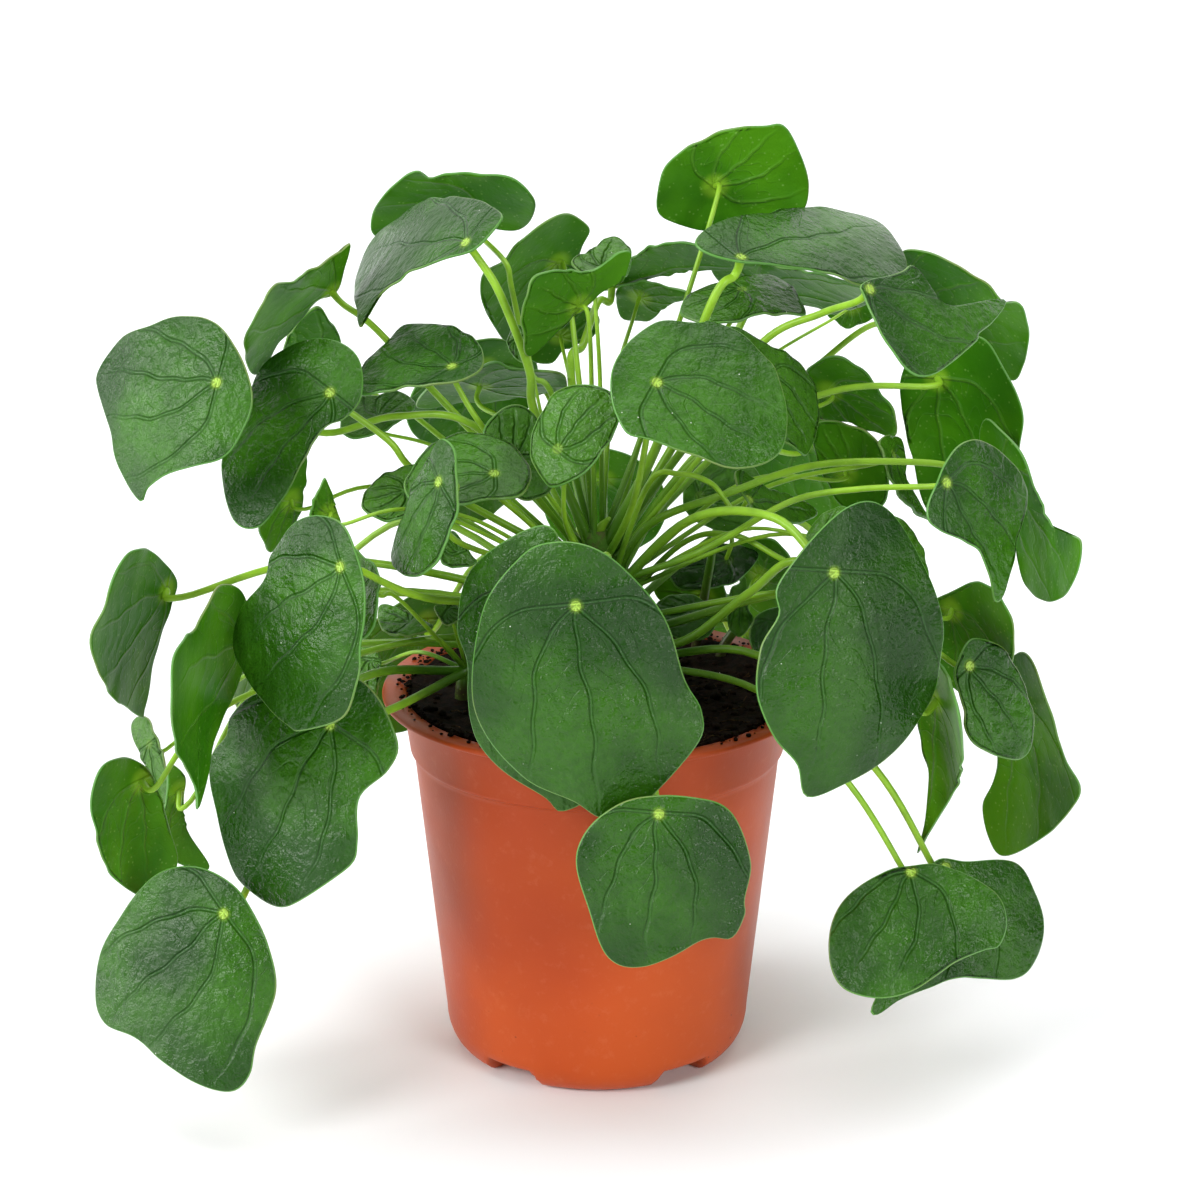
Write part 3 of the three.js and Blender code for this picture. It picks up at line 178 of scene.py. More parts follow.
# Leaves seen in the photograph: pixel where the stalk meets the blade, its y, the way the
# upper side looks (bearing from +X and height above level), how steeply the two halves fall
# away from the midrib, how much lighter or darker it is than its likes, the places its
# stalk runs through (pixel, pixel, y), the outline of the blade in pixels, and the shoot
# that it grows on if that isn't the trunk
LEAVES = [
    leaf((576, 606), -69, (-92, 10), 0.12, -0.28, [(606, 556, -32)],
         [(590, 546), (625, 569), (665, 618), (685, 680), (702, 712), (697, 745), (640, 807),
          (603, 818), (575, 803), (520, 775), (474, 710), (482, 612), (520, 557), (552, 542)]),
    leaf((545, 595), -61, (-105, 8), 0.1, -0.1, [(568, 560, -30)],
         [(557, 534), (563, 605), (582, 650), (605, 700), (612, 750), (600, 790), (562, 812),
          (543, 797), (488, 758), (470, 720), (466, 660), (457, 625), (470, 570), (525, 530)]),
    leaf((834, 573), -62, (-75, 16), 0.22, -0.3, [(690, 520, -18), (775, 518, -44)],
         [(893, 513), (941, 605), (942, 655), (930, 705), (890, 757), (845, 785), (807, 797),
          (797, 765), (775, 738), (757, 695), (760, 650), (778, 615), (780, 580), (843, 509)]),
    leaf((659, 814), -80, (-88, 10), 0.1, -0.3, [(632, 650, -48), (652, 770, -64)],
         [(695, 797), (732, 813), (751, 862), (745, 900), (745, 915), (732, 938), (705, 940),
          (645, 967), (608, 958), (587, 905), (576, 865), (582, 838), (605, 812), (640, 797)]),
    leaf((341, 567), -64, (-125, 18), 0.12, 0, [(440, 600, -32)],
         [(335, 519), (356, 548), (365, 595), (362, 645), (357, 680), (343, 718), (300, 731),
          (285, 724), (245, 680), (231, 645), (235, 612), (264, 578), (270, 552), (300, 519)]),
    leaf((330, 725), -50, (-110, 22), 0.2, 0, [(394, 708, -40)],
         [(340, 677), (372, 690), (398, 740), (388, 770), (359, 798), (358, 840), (345, 870),
          (285, 907), (247, 890), (225, 855), (208, 765), (225, 735), (230, 715), (260, 692)],
         "left"),
    leaf((224, 914), -62, (-105, 22), 0.15, -0.1,
         [(362, 678, -32), (290, 760, -38), (252, 876, -41)],
         [(190, 866), (237, 888), (268, 945), (276, 990), (257, 1043), (250, 1075), (230, 1092),
          (195, 1083), (160, 1060), (132, 1037), (103, 1024), (93, 997), (100, 950), (145, 883)],
         "left"),
    leaf((439, 482), -52, (-140, 20), 0.25, 0, [(455, 540, -36)],
         [(447, 440), (438, 443), (420, 470), (407, 497), (403, 515), (390, 545), (389, 560),
          (405, 576), (430, 571), (450, 535), (456, 515), (459, 495), (455, 455)]),
    leaf((558, 449), -38, (-110, 30), 0.12, 0, [(566, 525, -20)],
         [(580, 384), (608, 390), (617, 403), (618, 425), (597, 460), (575, 480), (555, 487),
          (545, 483), (530, 455), (535, 425), (555, 393)]),
    leaf((657, 383), -38, (-80, 42), 0.06, 0, [(634, 500, -22)],
         [(655, 323), (700, 322), (712, 320), (740, 333), (768, 358), (778, 375), (788, 420),
          (778, 455), (745, 468), (710, 462), (650, 440), (623, 430), (610, 385), (622, 350)]),
    leaf((494, 474), -32, (-80, 64), 0.1, 0, [(528, 522, -16)],
         [(445, 437), (478, 433), (510, 444), (530, 467), (527, 490), (505, 500), (487, 500),
          (465, 504), (440, 506), (415, 503), (404, 483), (425, 450)]),
    leaf((217, 383), -30, (-112, 28), 0.15, 0.05,
         [(483, 432, -4), (399, 416, 2), (326, 433, 6), (262, 412, 6), (238, 400, -3)],
         [(183, 315), (222, 328), (252, 385), (243, 430), (220, 460), (175, 471), (148, 487),
          (139, 501), (118, 470), (108, 430), (96, 390), (97, 370), (118, 338), (150, 325)]),
    leaf((330, 393), -12, (-100, 35), 0.15, 0, [(430, 482, -5), (388, 440, -6)],
         [(327, 338), (358, 357), (362, 395), (345, 418), (330, 425), (315, 440), (305, 460),
          (280, 502), (257, 528), (232, 518), (221, 463), (242, 426), (256, 373), (290, 346)]),
    leaf((243, 640), -27, (147, 2), 0.2, 0, [(370, 592, -20)],
         [(240, 590), (252, 630), (248, 660), (230, 700), (210, 750), (195, 808), (190, 783),
          (162, 745), (151, 715), (151, 690), (157, 655), (175, 633), (190, 627), (215, 588)]),
    leaf((165, 590), -18, (150, 10), 0.15, 0, [(340, 560, -14)],
         [(150, 550), (177, 578), (170, 605), (160, 640), (150, 675), (142, 710), (140, 717),
          (120, 704), (110, 698), (92, 668), (85, 633), (102, 598), (115, 565), (130, 549)]),
    leaf((140, 780), -34, (140, 8), 0.15, 0, [(420, 640, -13), (250, 694, -18), (190, 738, -30)],
         [(123, 757), (147, 768), (160, 795), (170, 830), (176, 858), (170, 880), (150, 893),
          (135, 894), (108, 872), (95, 835), (90, 795), (101, 765)]),
    leaf((178, 790), -17, (135, 15), 0.2, 0, [(300, 655, -14)],
         [(170, 765), (168, 790), (163, 808), (154, 825), (160, 852), (190, 868), (209, 866),
          (190, 835), (184, 815), (183, 795), (184, 775)]),
    leaf((331, 291), 25, (135, 30), 0.25, 0, [(440, 398, 14), (375, 328, 18)],
         [(351, 246), (340, 252), (320, 262), (288, 278), (270, 278), (260, 285), (255, 298),
          (242, 330), (240, 345), (252, 372), (280, 340), (305, 313), (320, 300), (336, 291)]),
    leaf((325, 364), 40, (100, 38), 0, 0, [(430, 428, 22), (377, 396, 34)],
         [(317, 307), (330, 320), (341, 340), (338, 362), (320, 378), (295, 372), (283, 350),
          (295, 325)]),
    leaf((466, 243), -5, (-135, 48), 0.15, 0, [(536, 417, 2), (529, 369, 1), (500, 294, -3)],
         [(430, 196), (475, 199), (490, 205), (503, 220), (475, 249), (440, 260), (400, 277),
          (364, 306), (358, 325), (352, 305), (348, 275), (355, 250), (372, 228), (400, 208)]),
    leaf((478, 213), 58, (80, 40), 0.1, 0,
         [(553, 398, 20), (531, 372, 24), (512, 290, 28), (505, 262, 29)],
         [(371, 228), (380, 198), (414, 170), (430, 176), (462, 172), (480, 173), (515, 180),
          (535, 198), (532, 218), (521, 229), (500, 228), (460, 225), (420, 232), (390, 240)]),
    leaf((452, 367), -8, (-112, 64), 0.1, 0, [(492, 440, -6)],
         [(352, 385), (365, 362), (378, 348), (400, 327), (415, 322), (430, 322), (460, 329),
          (481, 347), (482, 367), (465, 381), (430, 385), (390, 390), (362, 395)]),
    leaf((557, 261), 52, (120, 32), 0.15, 0, [(580, 390, 14)],
         [(568, 214), (589, 227), (582, 247), (574, 272), (555, 303), (530, 332), (507, 340),
          (495, 328), (481, 300), (483, 272), (505, 257), (520, 240), (550, 217)]),
    leaf((578, 305), 0, (120, 22), 0.04, 0, [(592, 400, 2)],
         [(592, 270), (550, 270), (530, 282), (521, 315), (522, 330), (529, 357), (560, 329),
          (586, 307), (608, 288), (622, 279), (632, 255), (620, 252)]),
    leaf((600, 268), 8, (-60, 60), 0, 0, [(600, 380, 6)],
         [(571, 262), (590, 250), (614, 236), (631, 252), (628, 274), (618, 278), (600, 278),
          (585, 275)]),
    leaf((612, 284), 64, (80, 48), 0, 0, [(571, 374, 32), (583, 345, 42), (598, 302, 56)],
         [(600, 288), (632, 258), (650, 246), (675, 242), (700, 243), (730, 250), (757, 262),
          (735, 267), (700, 269), (665, 275), (620, 287)]),
    leaf((405, 492), -18, (-100, 55), 0, 0, [(480, 522, -8)],
         [(361, 503), (378, 478), (412, 465), (430, 472), (428, 500), (405, 517), (390, 521),
          (372, 517)]),
    leaf((515, 455), -16, (-70, 30), 0, -0.2, [(556, 505, -6)],
         [(484, 428), (500, 410), (514, 404), (528, 409), (538, 422), (538, 445), (545, 470),
          (552, 488), (540, 498), (520, 500), (498, 480), (485, 452)]),
    leaf((480, 385), 44, (90, 58), 0, 0, [(525, 440, 26)],
         [(416, 403), (430, 387), (460, 375), (495, 363), (510, 367), (528, 369), (560, 372),
          (565, 388), (530, 396), (490, 401), (450, 404), (425, 407)]),
    leaf((715, 185), 38, (95, 20), 0.1, -0.15, [(640, 440, 16), (686, 300, 24)],
         [(662, 172), (685, 148), (700, 140), (735, 127), (765, 125), (783, 125), (797, 145),
          (809, 183), (800, 212), (760, 222), (730, 228), (704, 230), (675, 223), (657, 210)]),
    leaf((741, 258), -8, (-60, 60), 0.05, 0.12, [(655, 450, -2), (712, 302, -8)],
         [(695, 242), (728, 219), (765, 212), (795, 205), (820, 204), (868, 208), (890, 222),
          (909, 262), (905, 280), (880, 286), (850, 281), (820, 271), (775, 266), (735, 262)]),
    leaf((758, 282), 57, (60, 48), 0, 0, [(700, 400, 22), (738, 330, 38)],
         [(712, 266), (740, 262), (780, 266), (820, 272), (850, 280), (885, 286), (890, 296),
          (850, 309), (830, 312), (815, 307), (770, 303), (745, 298), (722, 284)]),
    leaf((742, 290), 16, (-70, 72), 0.08, 0, [(680, 400, 12)],
         [(680, 312), (692, 292), (715, 284), (735, 279), (770, 275), (792, 287), (806, 314),
          (780, 314), (760, 315), (725, 324), (700, 322)]),
    leaf((869, 290), -20, (-55, 40), 0, -0.15, [(690, 440, 4), (762, 343, 0), (820, 314, -4)],
         [(862, 284), (900, 272), (912, 266), (932, 287), (949, 305), (1001, 298), (1006, 304),
          (992, 323), (980, 333), (975, 343), (933, 375), (906, 368), (886, 343), (864, 297)]),
    leaf((925, 316), 52, (62, 28), 0.15, 0, [(740, 430, 26), (812, 370, 36), (872, 325, 42)],
         [(903, 250), (940, 256), (980, 276), (1005, 299), (1018, 299), (1026, 308), (1030, 338),
          (1024, 365), (1012, 380), (980, 358), (950, 342), (925, 334), (908, 318), (900, 285)]),
    leaf((938, 378), 20, (62, 10), 0.1, 0, [(700, 455, 2), (830, 392, 10)],
         [(905, 365), (915, 350), (940, 338), (978, 336), (1000, 360), (1022, 405), (1022, 440),
          (1015, 465), (1000, 490), (975, 510), (945, 515), (925, 505), (908, 440), (900, 395)]),
    leaf((946, 483), -40, (-60, 22), 0.15, 0,
         [(680, 560, -14), (719, 542, -18), (792, 501, -26), (860, 489, -30)],
         [(985, 441), (1008, 457), (1028, 484), (1029, 500), (1020, 535), (1013, 565),
          (1005, 595), (996, 601), (990, 575), (975, 548), (938, 530), (927, 512), (942, 468),
          (962, 443)]),
    leaf((1000, 470), 0, (38, 8), 0.2, 0,
         [(648, 526, -4), (726, 494, -8), (817, 465, -10), (930, 463, -8)],
         [(987, 418), (1000, 428), (1020, 452), (1040, 495), (1058, 530), (1086, 540),
          (1078, 583), (1055, 600), (1028, 588), (1020, 560), (1012, 535), (995, 500),
          (985, 465), (980, 435)]),
    leaf((768, 375), -14, (-45, 30), 0.1, 0, [(690, 470, -6)],
         [(728, 327), (762, 341), (795, 358), (808, 373), (817, 393), (820, 415), (810, 452),
          (800, 453), (788, 445), (765, 430), (748, 400), (735, 360)]),
    leaf((830, 390), 24, (65, 30), 0, 0, [(720, 440, 18)],
         [(808, 368), (833, 356), (857, 364), (868, 375), (888, 402), (896, 415), (895, 436),
          (870, 431), (855, 424), (815, 415), (803, 390)]),
    leaf((846, 471), 20, (62, 12), 0.1, 0, [(740, 484, 16)],
         [(820, 421), (850, 424), (877, 440), (888, 470), (889, 490), (880, 508), (850, 512),
          (828, 485), (814, 450), (816, 435)]),
    leaf((953, 609), -6, (48, 12), 0.12, 0,
         [(680, 545, -6), (733, 535, -12), (790, 563, -20), (870, 594, -18)],
         [(930, 605), (950, 592), (972, 582), (985, 583), (1003, 597), (1016, 635), (1010, 670),
          (990, 690), (960, 692), (935, 670), (925, 640)]),
    leaf((969, 666), -33, (-65, 18), 0.15, -0.1, [(830, 592, -20)],
         [(977, 638), (1003, 648), (1022, 678), (1034, 715), (1031, 750), (1012, 760),
          (972, 743), (963, 710), (955, 676), (957, 660), (965, 645)]),
    leaf((938, 700), -34, (22, 12), 0.2, 0,
         [(678, 643, -10), (749, 593, -18), (800, 561, -24), (880, 610, -32)],
         [(940, 663), (948, 675), (960, 688), (971, 720), (967, 755), (962, 775), (947, 805),
          (928, 835), (918, 853), (926, 820), (928, 780), (925, 755), (917, 720), (922, 680)]),
    leaf((1012, 700), 10, (38, 10), 0.15, 0, [(850, 590, 8)],
         [(1020, 652), (1037, 667), (1052, 710), (1063, 750), (1082, 785), (1068, 815),
          (1040, 840), (1005, 856), (988, 838), (984, 805), (995, 778), (998, 730), (998, 700),
          (1003, 670)]),
    leaf((911, 872), -44, (-88, 38), 0.06, 0, [(757, 690, -28), (850, 785, -40)],
         [(905, 866), (945, 866), (993, 890), (1007, 920), (1000, 945), (985, 950), (955, 963),
          (915, 990), (880, 998), (845, 990), (830, 963), (831, 925), (848, 895), (880, 874)]),
    leaf((945, 868), -30, (-70, 30), 0.1, 0, [(757, 655, -14), (875, 768, -28)],
         [(935, 861), (965, 861), (1015, 862), (1035, 890), (1044, 920), (1038, 958),
          (1015, 979), (960, 978), (930, 988), (900, 1000), (877, 1015), (872, 1005), (900, 950),
          (915, 900)]),
]

# Leaves out of the photograph's sight: place, face, tip, length, width, inset and via
FAR_LEAVES = [
    far_leaf((-8, 78, 112), (92, 18), 5, 60, 52, 16, (-4, 50, 140)),
    far_leaf((44, 72, 100), (62, 22), -10, 53, 46, 14, (26, 46, 128)),
    far_leaf((-52, 66, 104), (122, 20), 10, 50, 46, 14, (-30, 42, 132)),
    far_leaf((84, 58, 122), (35, 18), -5, 55, 45, 14, (48, 38, 146)),
    far_leaf((-92, 50, 118), (150, 18), 5, 52, 45, 14, (-50, 32, 146)),
    far_leaf((32, 74, 186), (75, 48), 10, 43, 37, 9, (16, 38, 178)),
    far_leaf((-38, 68, 152), (115, 35), -10, 38, 33, 9, (-20, 36, 160)),
    far_leaf((2, 96, 140), (85, 30), 0, 45, 39, 10, (2, 56, 160)),
    far_leaf((-34, 86, 178), (112, 36), 8, 48, 41, 12, (-14, 48, 178)),
    far_leaf((62, 80, 156), (58, 30), -8, 50, 43, 13, (30, 46, 162)),
]

# Small young leaves, which the part joins to its stems
YOUNG_LEAVES = [
    leaf((518, 340), 10, (-120, 35), 0, 0, [(548, 440, 4)],
         [(515, 325), (507, 340), (510, 352), (518, 361), (525, 361), (528, 345), (524, 328)]),
    leaf((560, 335), 68, (100, 30), 0, 0, [(580, 430, 28)],
         [(528, 357), (550, 363), (565, 350), (590, 338), (600, 320), (585, 305), (555, 310),
          (532, 330)]),
    leaf((640, 296), 62, (70, 42), 0, 0, [(612, 400, 34)],
         [(620, 286), (650, 281), (670, 288), (690, 294), (665, 308), (650, 320), (632, 321),
          (620, 314), (616, 300)]),
    leaf((378, 416), 16, (-90, 60), 0, 0, [(460, 460, 12)],
         [(340, 430), (345, 405), (362, 397), (385, 394), (400, 391), (416, 407), (390, 428),
          (370, 436), (350, 438)]),
    leaf((850, 303), 72, (60, 20), 0, 0, [(730, 390, 40)],
         [(828, 312), (835, 320), (842, 327), (850, 328), (875, 317), (873, 300), (860, 290),
          (840, 292)]),
    leaf((893, 455), 4, (-20, 30), 0, 0, [(760, 490, 8)],
         [(880, 440), (898, 438), (906, 462), (905, 478), (915, 500), (928, 520), (915, 512),
          (900, 497), (889, 475)]),
    leaf((748, 500), -8, (-40, 45), 0, 0, [(648, 485, -12), (680, 474, -16), (712, 484, -14)],
         [(738, 470), (762, 486), (780, 492), (810, 504), (818, 514), (796, 524), (762, 518),
          (750, 508), (736, 482)]),
    leaf((700, 496), 26, (-80, 30), 0, 0, [],
         [(683, 490), (690, 470), (705, 460), (740, 458), (760, 475), (764, 497), (750, 520),
          (725, 533), (688, 515)], "right"),
    # This blade lies in the crown's shadow: its darker value is painted shade
    leaf((728, 561), 42, (-70, 40), 0, -1.3, [(732, 540, 34)],
         [(669, 571), (700, 551), (722, 543), (745, 547), (759, 556), (742, 578), (725, 586),
          (684, 590)], "right"),
    leaf((150, 745), 0, (-140, 25), 0, 0, [(300, 650, -8)],
         [(140, 716), (132, 727), (142, 760), (157, 785), (163, 805), (168, 800), (165, 760),
          (150, 722)]),
    leaf((330, 512), -34, (120, 20), 0, 0, [(430, 512, -27)],
         [(325, 478), (331, 490), (337, 510), (340, 525), (325, 530), (310, 522), (313, 500),
          (319, 488)]),
    leaf((290, 500), 6, (140, 15), 0, 0, [(400, 490, 0)],
         [(305, 455), (306, 475), (302, 505), (297, 522), (285, 535), (270, 553), (258, 525),
          (265, 500), (280, 470)]),
    leaf((895, 550), -40, (-50, 35), 0, 0, [(770, 535, -20)],
         [(880, 510), (905, 523), (920, 543), (929, 580), (915, 595), (890, 590), (870, 560),
          (868, 530)]),
    leaf((830, 540), -35, (-120, 35), 0, 0, [(740, 530, -16)],
         [(843, 506), (825, 513), (812, 525), (806, 541), (810, 560), (835, 570), (860, 550),
          (862, 520)]),
    leaf((362, 590), -38, (-150, 25), 0, 0, [(400, 600, -30)],
         [(352, 550), (362, 555), (375, 565), (380, 580), (376, 615), (365, 640), (348, 625),
          (342, 590)], "left"),
    leaf((410, 622), -12, (-120, 60), 0, 0, [(440, 640, -16)],
         [(378, 607), (395, 607), (410, 613), (425, 620), (434, 628), (420, 634), (400, 636),
          (382, 630)], "left"),
    leaf((372, 660), 8, (-120, 25), 0, 0.5, [(420, 652, 2)],
         [(350, 652), (372, 646), (381, 662), (378, 690), (374, 702), (366, 704), (357, 690),
          (351, 672)], "left"),
    leaf((447, 612), -22, (-100, 35), 0, 0, [(458, 640, -12)],
         [(434, 607), (447, 604), (460, 607), (459, 620), (447, 626), (440, 620)], "left"),
    leaf((460, 552), -18, (-100, 35), 0, 0, [(500, 570, -8)],
         [(452, 530), (462, 540), (472, 555), (477, 563), (460, 568), (445, 566), (440, 558),
          (445, 540)]),
    leaf((740, 600), 14, (-80, 30), 0, 0.35, [],
         [(745, 577), (739, 583), (730, 590), (727, 620), (733, 633), (741, 637), (753, 621),
          (748, 606)], "small"),
    leaf((768, 622), 6, (-70, 30), 0, -0.6, [],
         [(781, 607), (758, 614), (751, 626), (749, 640), (753, 650), (765, 656), (785, 650),
          (790, 625)], "small"),
    leaf((690, 612), 20, (-95, 45), 0, -0.15, [],
         [(656, 604), (680, 594), (698, 597), (711, 607), (716, 620), (712, 633), (698, 640),
          (668, 634)], "small"),
    leaf((760, 574), 50, (60, 20), 0, 0.1, [],
         [(735, 545), (752, 538), (775, 541), (790, 556), (792, 580), (784, 602), (768, 614),
          (752, 606), (742, 588)], "small"),
    leaf((704, 594), 42, (70, 25), 0, 0.05, [],
         [(653, 588), (665, 577), (684, 573), (704, 573), (720, 580), (727, 594), (722, 608),
          (705, 614), (667, 606)], "small"),
]


# Places from the photograph

VIEW_FORWARD = np.array([0, np.cos(VIEW_TILT), -np.sin(VIEW_TILT)])
VIEW_UP = np.array([0, np.sin(VIEW_TILT), np.cos(VIEW_TILT)])
EYE = VIEW_TARGET - VIEW_DISTANCE * VIEW_FORWARD


def sight_line(pixel):
    """The direction in which the viewpoint sees a pixel."""
    across, down = (np.array(pixel[:2], float) - FRAME_PIXELS / 2) / FOCAL_PIXELS
    return VIEW_FORWARD + across * np.array([1, 0, 0]) - down * VIEW_UP


def place_at(pixel, depth):
    """The place at a pixel and a depth."""
    line = sight_line(pixel)
    return EYE + line * (depth - EYE[1]) / line[1]


def blade_axes(face):
    """Normal of the upper side, downhill direction and the direction to the side."""
    bearing, height = np.radians(face)
    outward = np.array([np.cos(bearing), np.sin(bearing), 0])
    up = np.array([0, 0, 1])
    normal = np.cos(height) * outward + np.sin(height) * up
    downhill = np.sin(height) * outward - np.cos(height) * up
    return normal, downhill, np.cross(normal, downhill)


def rise(x, y, phase, fold):
    """Rise of a blade above the plane at its stalk."""
    wave = WAVE * np.sin(WAVES * np.arctan2(y, x) + phase) * (x * x + y * y)
    droop = DROOP_ALONG * x * x + DROOP_ACROSS * y * y
    return (wave - droop) / BLADE_RADIUS ** 2 - fold * (np.hypot(y, FOLD_ROUND) - FOLD_ROUND)


def onto_blade(pixel, at, axes, phase, fold):
    """A pixel of the outline, moved onto the blade: its place in the blade's plane."""
    normal, downhill, side = axes
    line = sight_line(pixel)
    height = x = y = 0.0
    for _ in range(AIM_ROUNDS):
        reach = (at + height * normal - EYE) @ normal / (line @ normal)
        spot = EYE + reach * line - at
        x, y = spot @ downhill, spot @ side
        height = (height + rise(x, y, phase, fold)) / 2
    return x, y


def seen_blade(row, index):
    """A leaf seen in the photograph, with its place, axes, outline and stalk route in mm."""
    at = place_at(row["stalk"], row["depth"])
    axes = blade_axes(row["face"])
    phase = WAVE_TURN * index
    edge = [onto_blade(pixel, at, axes, phase, row["fold"]) for pixel in row["edge"]]
    via = [place_at(spot, spot[2]) for spot in row["via"]]
    return {**row, "at": at, "axes": axes, "phase": phase, "edge": np.array(edge), "via": via}


def far_blade(row, index):
    """The same for a leaf on the far side."""
    angle = turns(OVAL_POINTS)
    along = row["inset"] + row["length"] / 2 * np.cos(angle)
    across = row["width"] / 2 * np.sin(angle)
    turn = np.radians(row["tip"])
    edge = np.stack([along * np.cos(turn) - across * np.sin(turn),
                     along * np.sin(turn) + across * np.cos(turn)], 1)
    return {**row, "at": np.array(row["at"], float), "axes": blade_axes(row["face"]),
            "phase": WAVE_TURN * (len(LEAVES) + index), "edge": edge,
            "via": [np.array(row["via"], float)]}


def large_blades():
    """Every leaf that is a node of its own, in the order of the nodes."""
    seen = [seen_blade(row, index) for index, row in enumerate(LEAVES)]
    return seen + [far_blade(row, index) for index, row in enumerate(FAR_LEAVES)]


def young_blades():
    return [seen_blade(row, index) for index, row in enumerate(YOUNG_LEAVES)]


# Lines

def turns(count):
    """Equal steps around a circle."""
    return 2 * np.pi * np.arange(count) / count


def line_span(before, start, end, after, t):
    """A smooth span from start to end that fits its neighbours on both sides."""
    return 0.5 * (2 * start + (end - before) * t
                  + (2 * before - 5 * start + 4 * end - after) * t ** 2
                  + (3 * start - 3 * end + after - before) * t ** 3)


def smooth_line(points, steps):
    """A smooth open line through points, with that many steps in each span."""
    points = np.array(points, float)
    ends = np.vstack([2 * points[0] - points[1], points, 2 * points[-1] - points[-2]])
    t = (np.arange(steps) / steps)[:, None]
    spans = [line_span(*ends[i:i + 4], t) for i in range(len(points) - 1)]
    return np.vstack(spans + [points[-1:]])


def run_along(line):
    """Distance along a line at each of its points."""
    return np.concatenate([[0], np.cumsum(np.linalg.norm(np.diff(line, axis=0), axis=1))])


def smooth_ring(points, count):
    """A smooth closed line through points, as equally spaced places."""
    t = (np.arange(OUTLINE_STEPS) / OUTLINE_STEPS)[:, None]
    near = [np.roll(points, shift, 0) for shift in (1, 0, -1, -2)]
    fine = np.vstack([line_span(*(p[i] for p in near), t) for i in range(len(points))])
    closed = np.vstack([fine, fine[:1]])
    run = run_along(closed)
    wanted = np.arange(count) * run[-1] / count
    return np.stack([np.interp(wanted, run, closed[:, k]) for k in (0, 1)], 1)


def smoothstep(low, high, value):
    """0 at low and 1 at high, with a smooth change between."""
    share = np.clip((value - low) / (high - low), 0, 1)
    return share * share * (3 - 2 * share)


# Meshes

def make_object(name, vertices, faces, materials, uv=None, face_slots=None, attributes=None):
    """An object in the frame, in metres, from vertices in millimetres."""
    mesh = bpy.data.meshes.new(name)
    mesh.from_pydata((np.array(vertices) * MM).tolist(), [], faces)
    for material in materials:
        mesh.materials.append(material)
    if face_slots is not None:
        mesh.polygons.foreach_set("material_index", face_slots)
    for key, values in (attributes or {}).items():
        values = np.broadcast_to(np.float32(values), len(vertices)).copy()
        mesh.attributes.new(key, "FLOAT", "POINT").data.foreach_set("value", values)
    if uv is not None:
        loops = np.zeros(len(mesh.loops), np.int32)
        mesh.loops.foreach_get("vertex_index", loops)
        layer = mesh.uv_layers.new(name="blade")
        layer.data.foreach_set("uv", np.array(uv, np.float32)[loops].ravel())
    mesh.polygons.foreach_set("use_smooth", np.ones(len(mesh.polygons), bool))
    mesh.validate()
    mesh.update()
    thing = bpy.data.objects.new(name, mesh)
    bpy.context.scene.collection.objects.link(thing)
    return thing


def place_piece(thing, slot, *nodes):
    """The piece rides on the part and stands for those of its nodes."""
    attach(thing, "root")
    if nodes:
        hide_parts(*nodes)


def skin_faces(rings, sides, turned=False):
    """Faces between rings of vertices, each given as its first vertex and their number.

    A ring of one vertex is a point. Turned faces look the other way.
    """
    faces = []
    for (low, low_count), (high, high_count) in zip(rings, rings[1:]):
        for step in range(sides):
            after = (step + 1) % sides
            face = [low + step % low_count, low + after % low_count,
                    high + after % high_count, high + step % high_count]
            if turned:
                face = face[:1] + face[:0:-1]
            faces.append(tuple(dict.fromkeys(face)))
    return faces


def ring_row(first, count, sides):
    """Rings that follow each other in a list of vertices, for skin_faces."""
    return [(first + ring * sides, sides) for ring in range(count)]


def tube(points, radii, sides):
    """Vertices and faces of a round stem, closed at both ends."""
    points = np.array(points, float)
    along = np.gradient(points, axis=0)
    along /= np.linalg.norm(along, axis=1)[:, None]
    across = np.array(SIDEWAYS)
    angle = turns(sides)
    rings = []
    for point, direction, radius in zip(points, along, radii):
        across = across - across @ direction * direction
        across /= np.linalg.norm(across)
        other = np.cross(direction, across)
        ring = np.outer(np.cos(angle), across) + np.outer(np.sin(angle), other)
        rings.append(point + radius * ring)
    faces = skin_faces(ring_row(0, len(points), sides), sides)
    last = (len(points) - 1) * sides
    faces.append(tuple(reversed(range(sides))))
    faces.append(tuple(range(last, last + sides)))
    return np.vstack(rings), faces


def join_parts(parts):
    """One list of vertices and faces from several."""
    vertices, faces, count = [], [], 0
    for some, own in parts:
        vertices.append(some)
        faces += [tuple(v + count for v in face) for face in own]
        count += len(some)
    return np.vstack(vertices), faces


def blade_span(blade):
    """Length of a blade from the stalk to its tip, the farthest point of the outline."""
    return np.linalg.norm(blade["edge"], axis=1).max()


def blade_uv(blade, flat):
    """Places in the blade's plane, turned to run from stalk to tip, in shares of its span."""
    edge = blade["edge"]
    span = blade_span(blade)
    along = edge[np.argmax(np.linalg.norm(edge, axis=1))] / span
    across = np.array([-along[1], along[0]])
    return np.stack([flat @ along, flat @ across], 1) / span


def vein_relief(blade, uv, settings):
    """How far a blade sinks at its main veins and swells between its side veins."""
    span = blade_span(blade)
    main, side = vein_distances(uv[:, 0], uv[:, 1], blade["phase"])
    reach = np.linalg.norm(uv, axis=1)
    groove = np.exp(-(main * span / settings.groove_width) ** 2)
    swell = smoothstep(0, settings.swell_width, side * span) * smoothstep(*SWELL_START, reach)
    relief = settings.swell * swell - settings.groove * groove
    return relief * (1 - smoothstep(*RELIEF_FADE, reach))


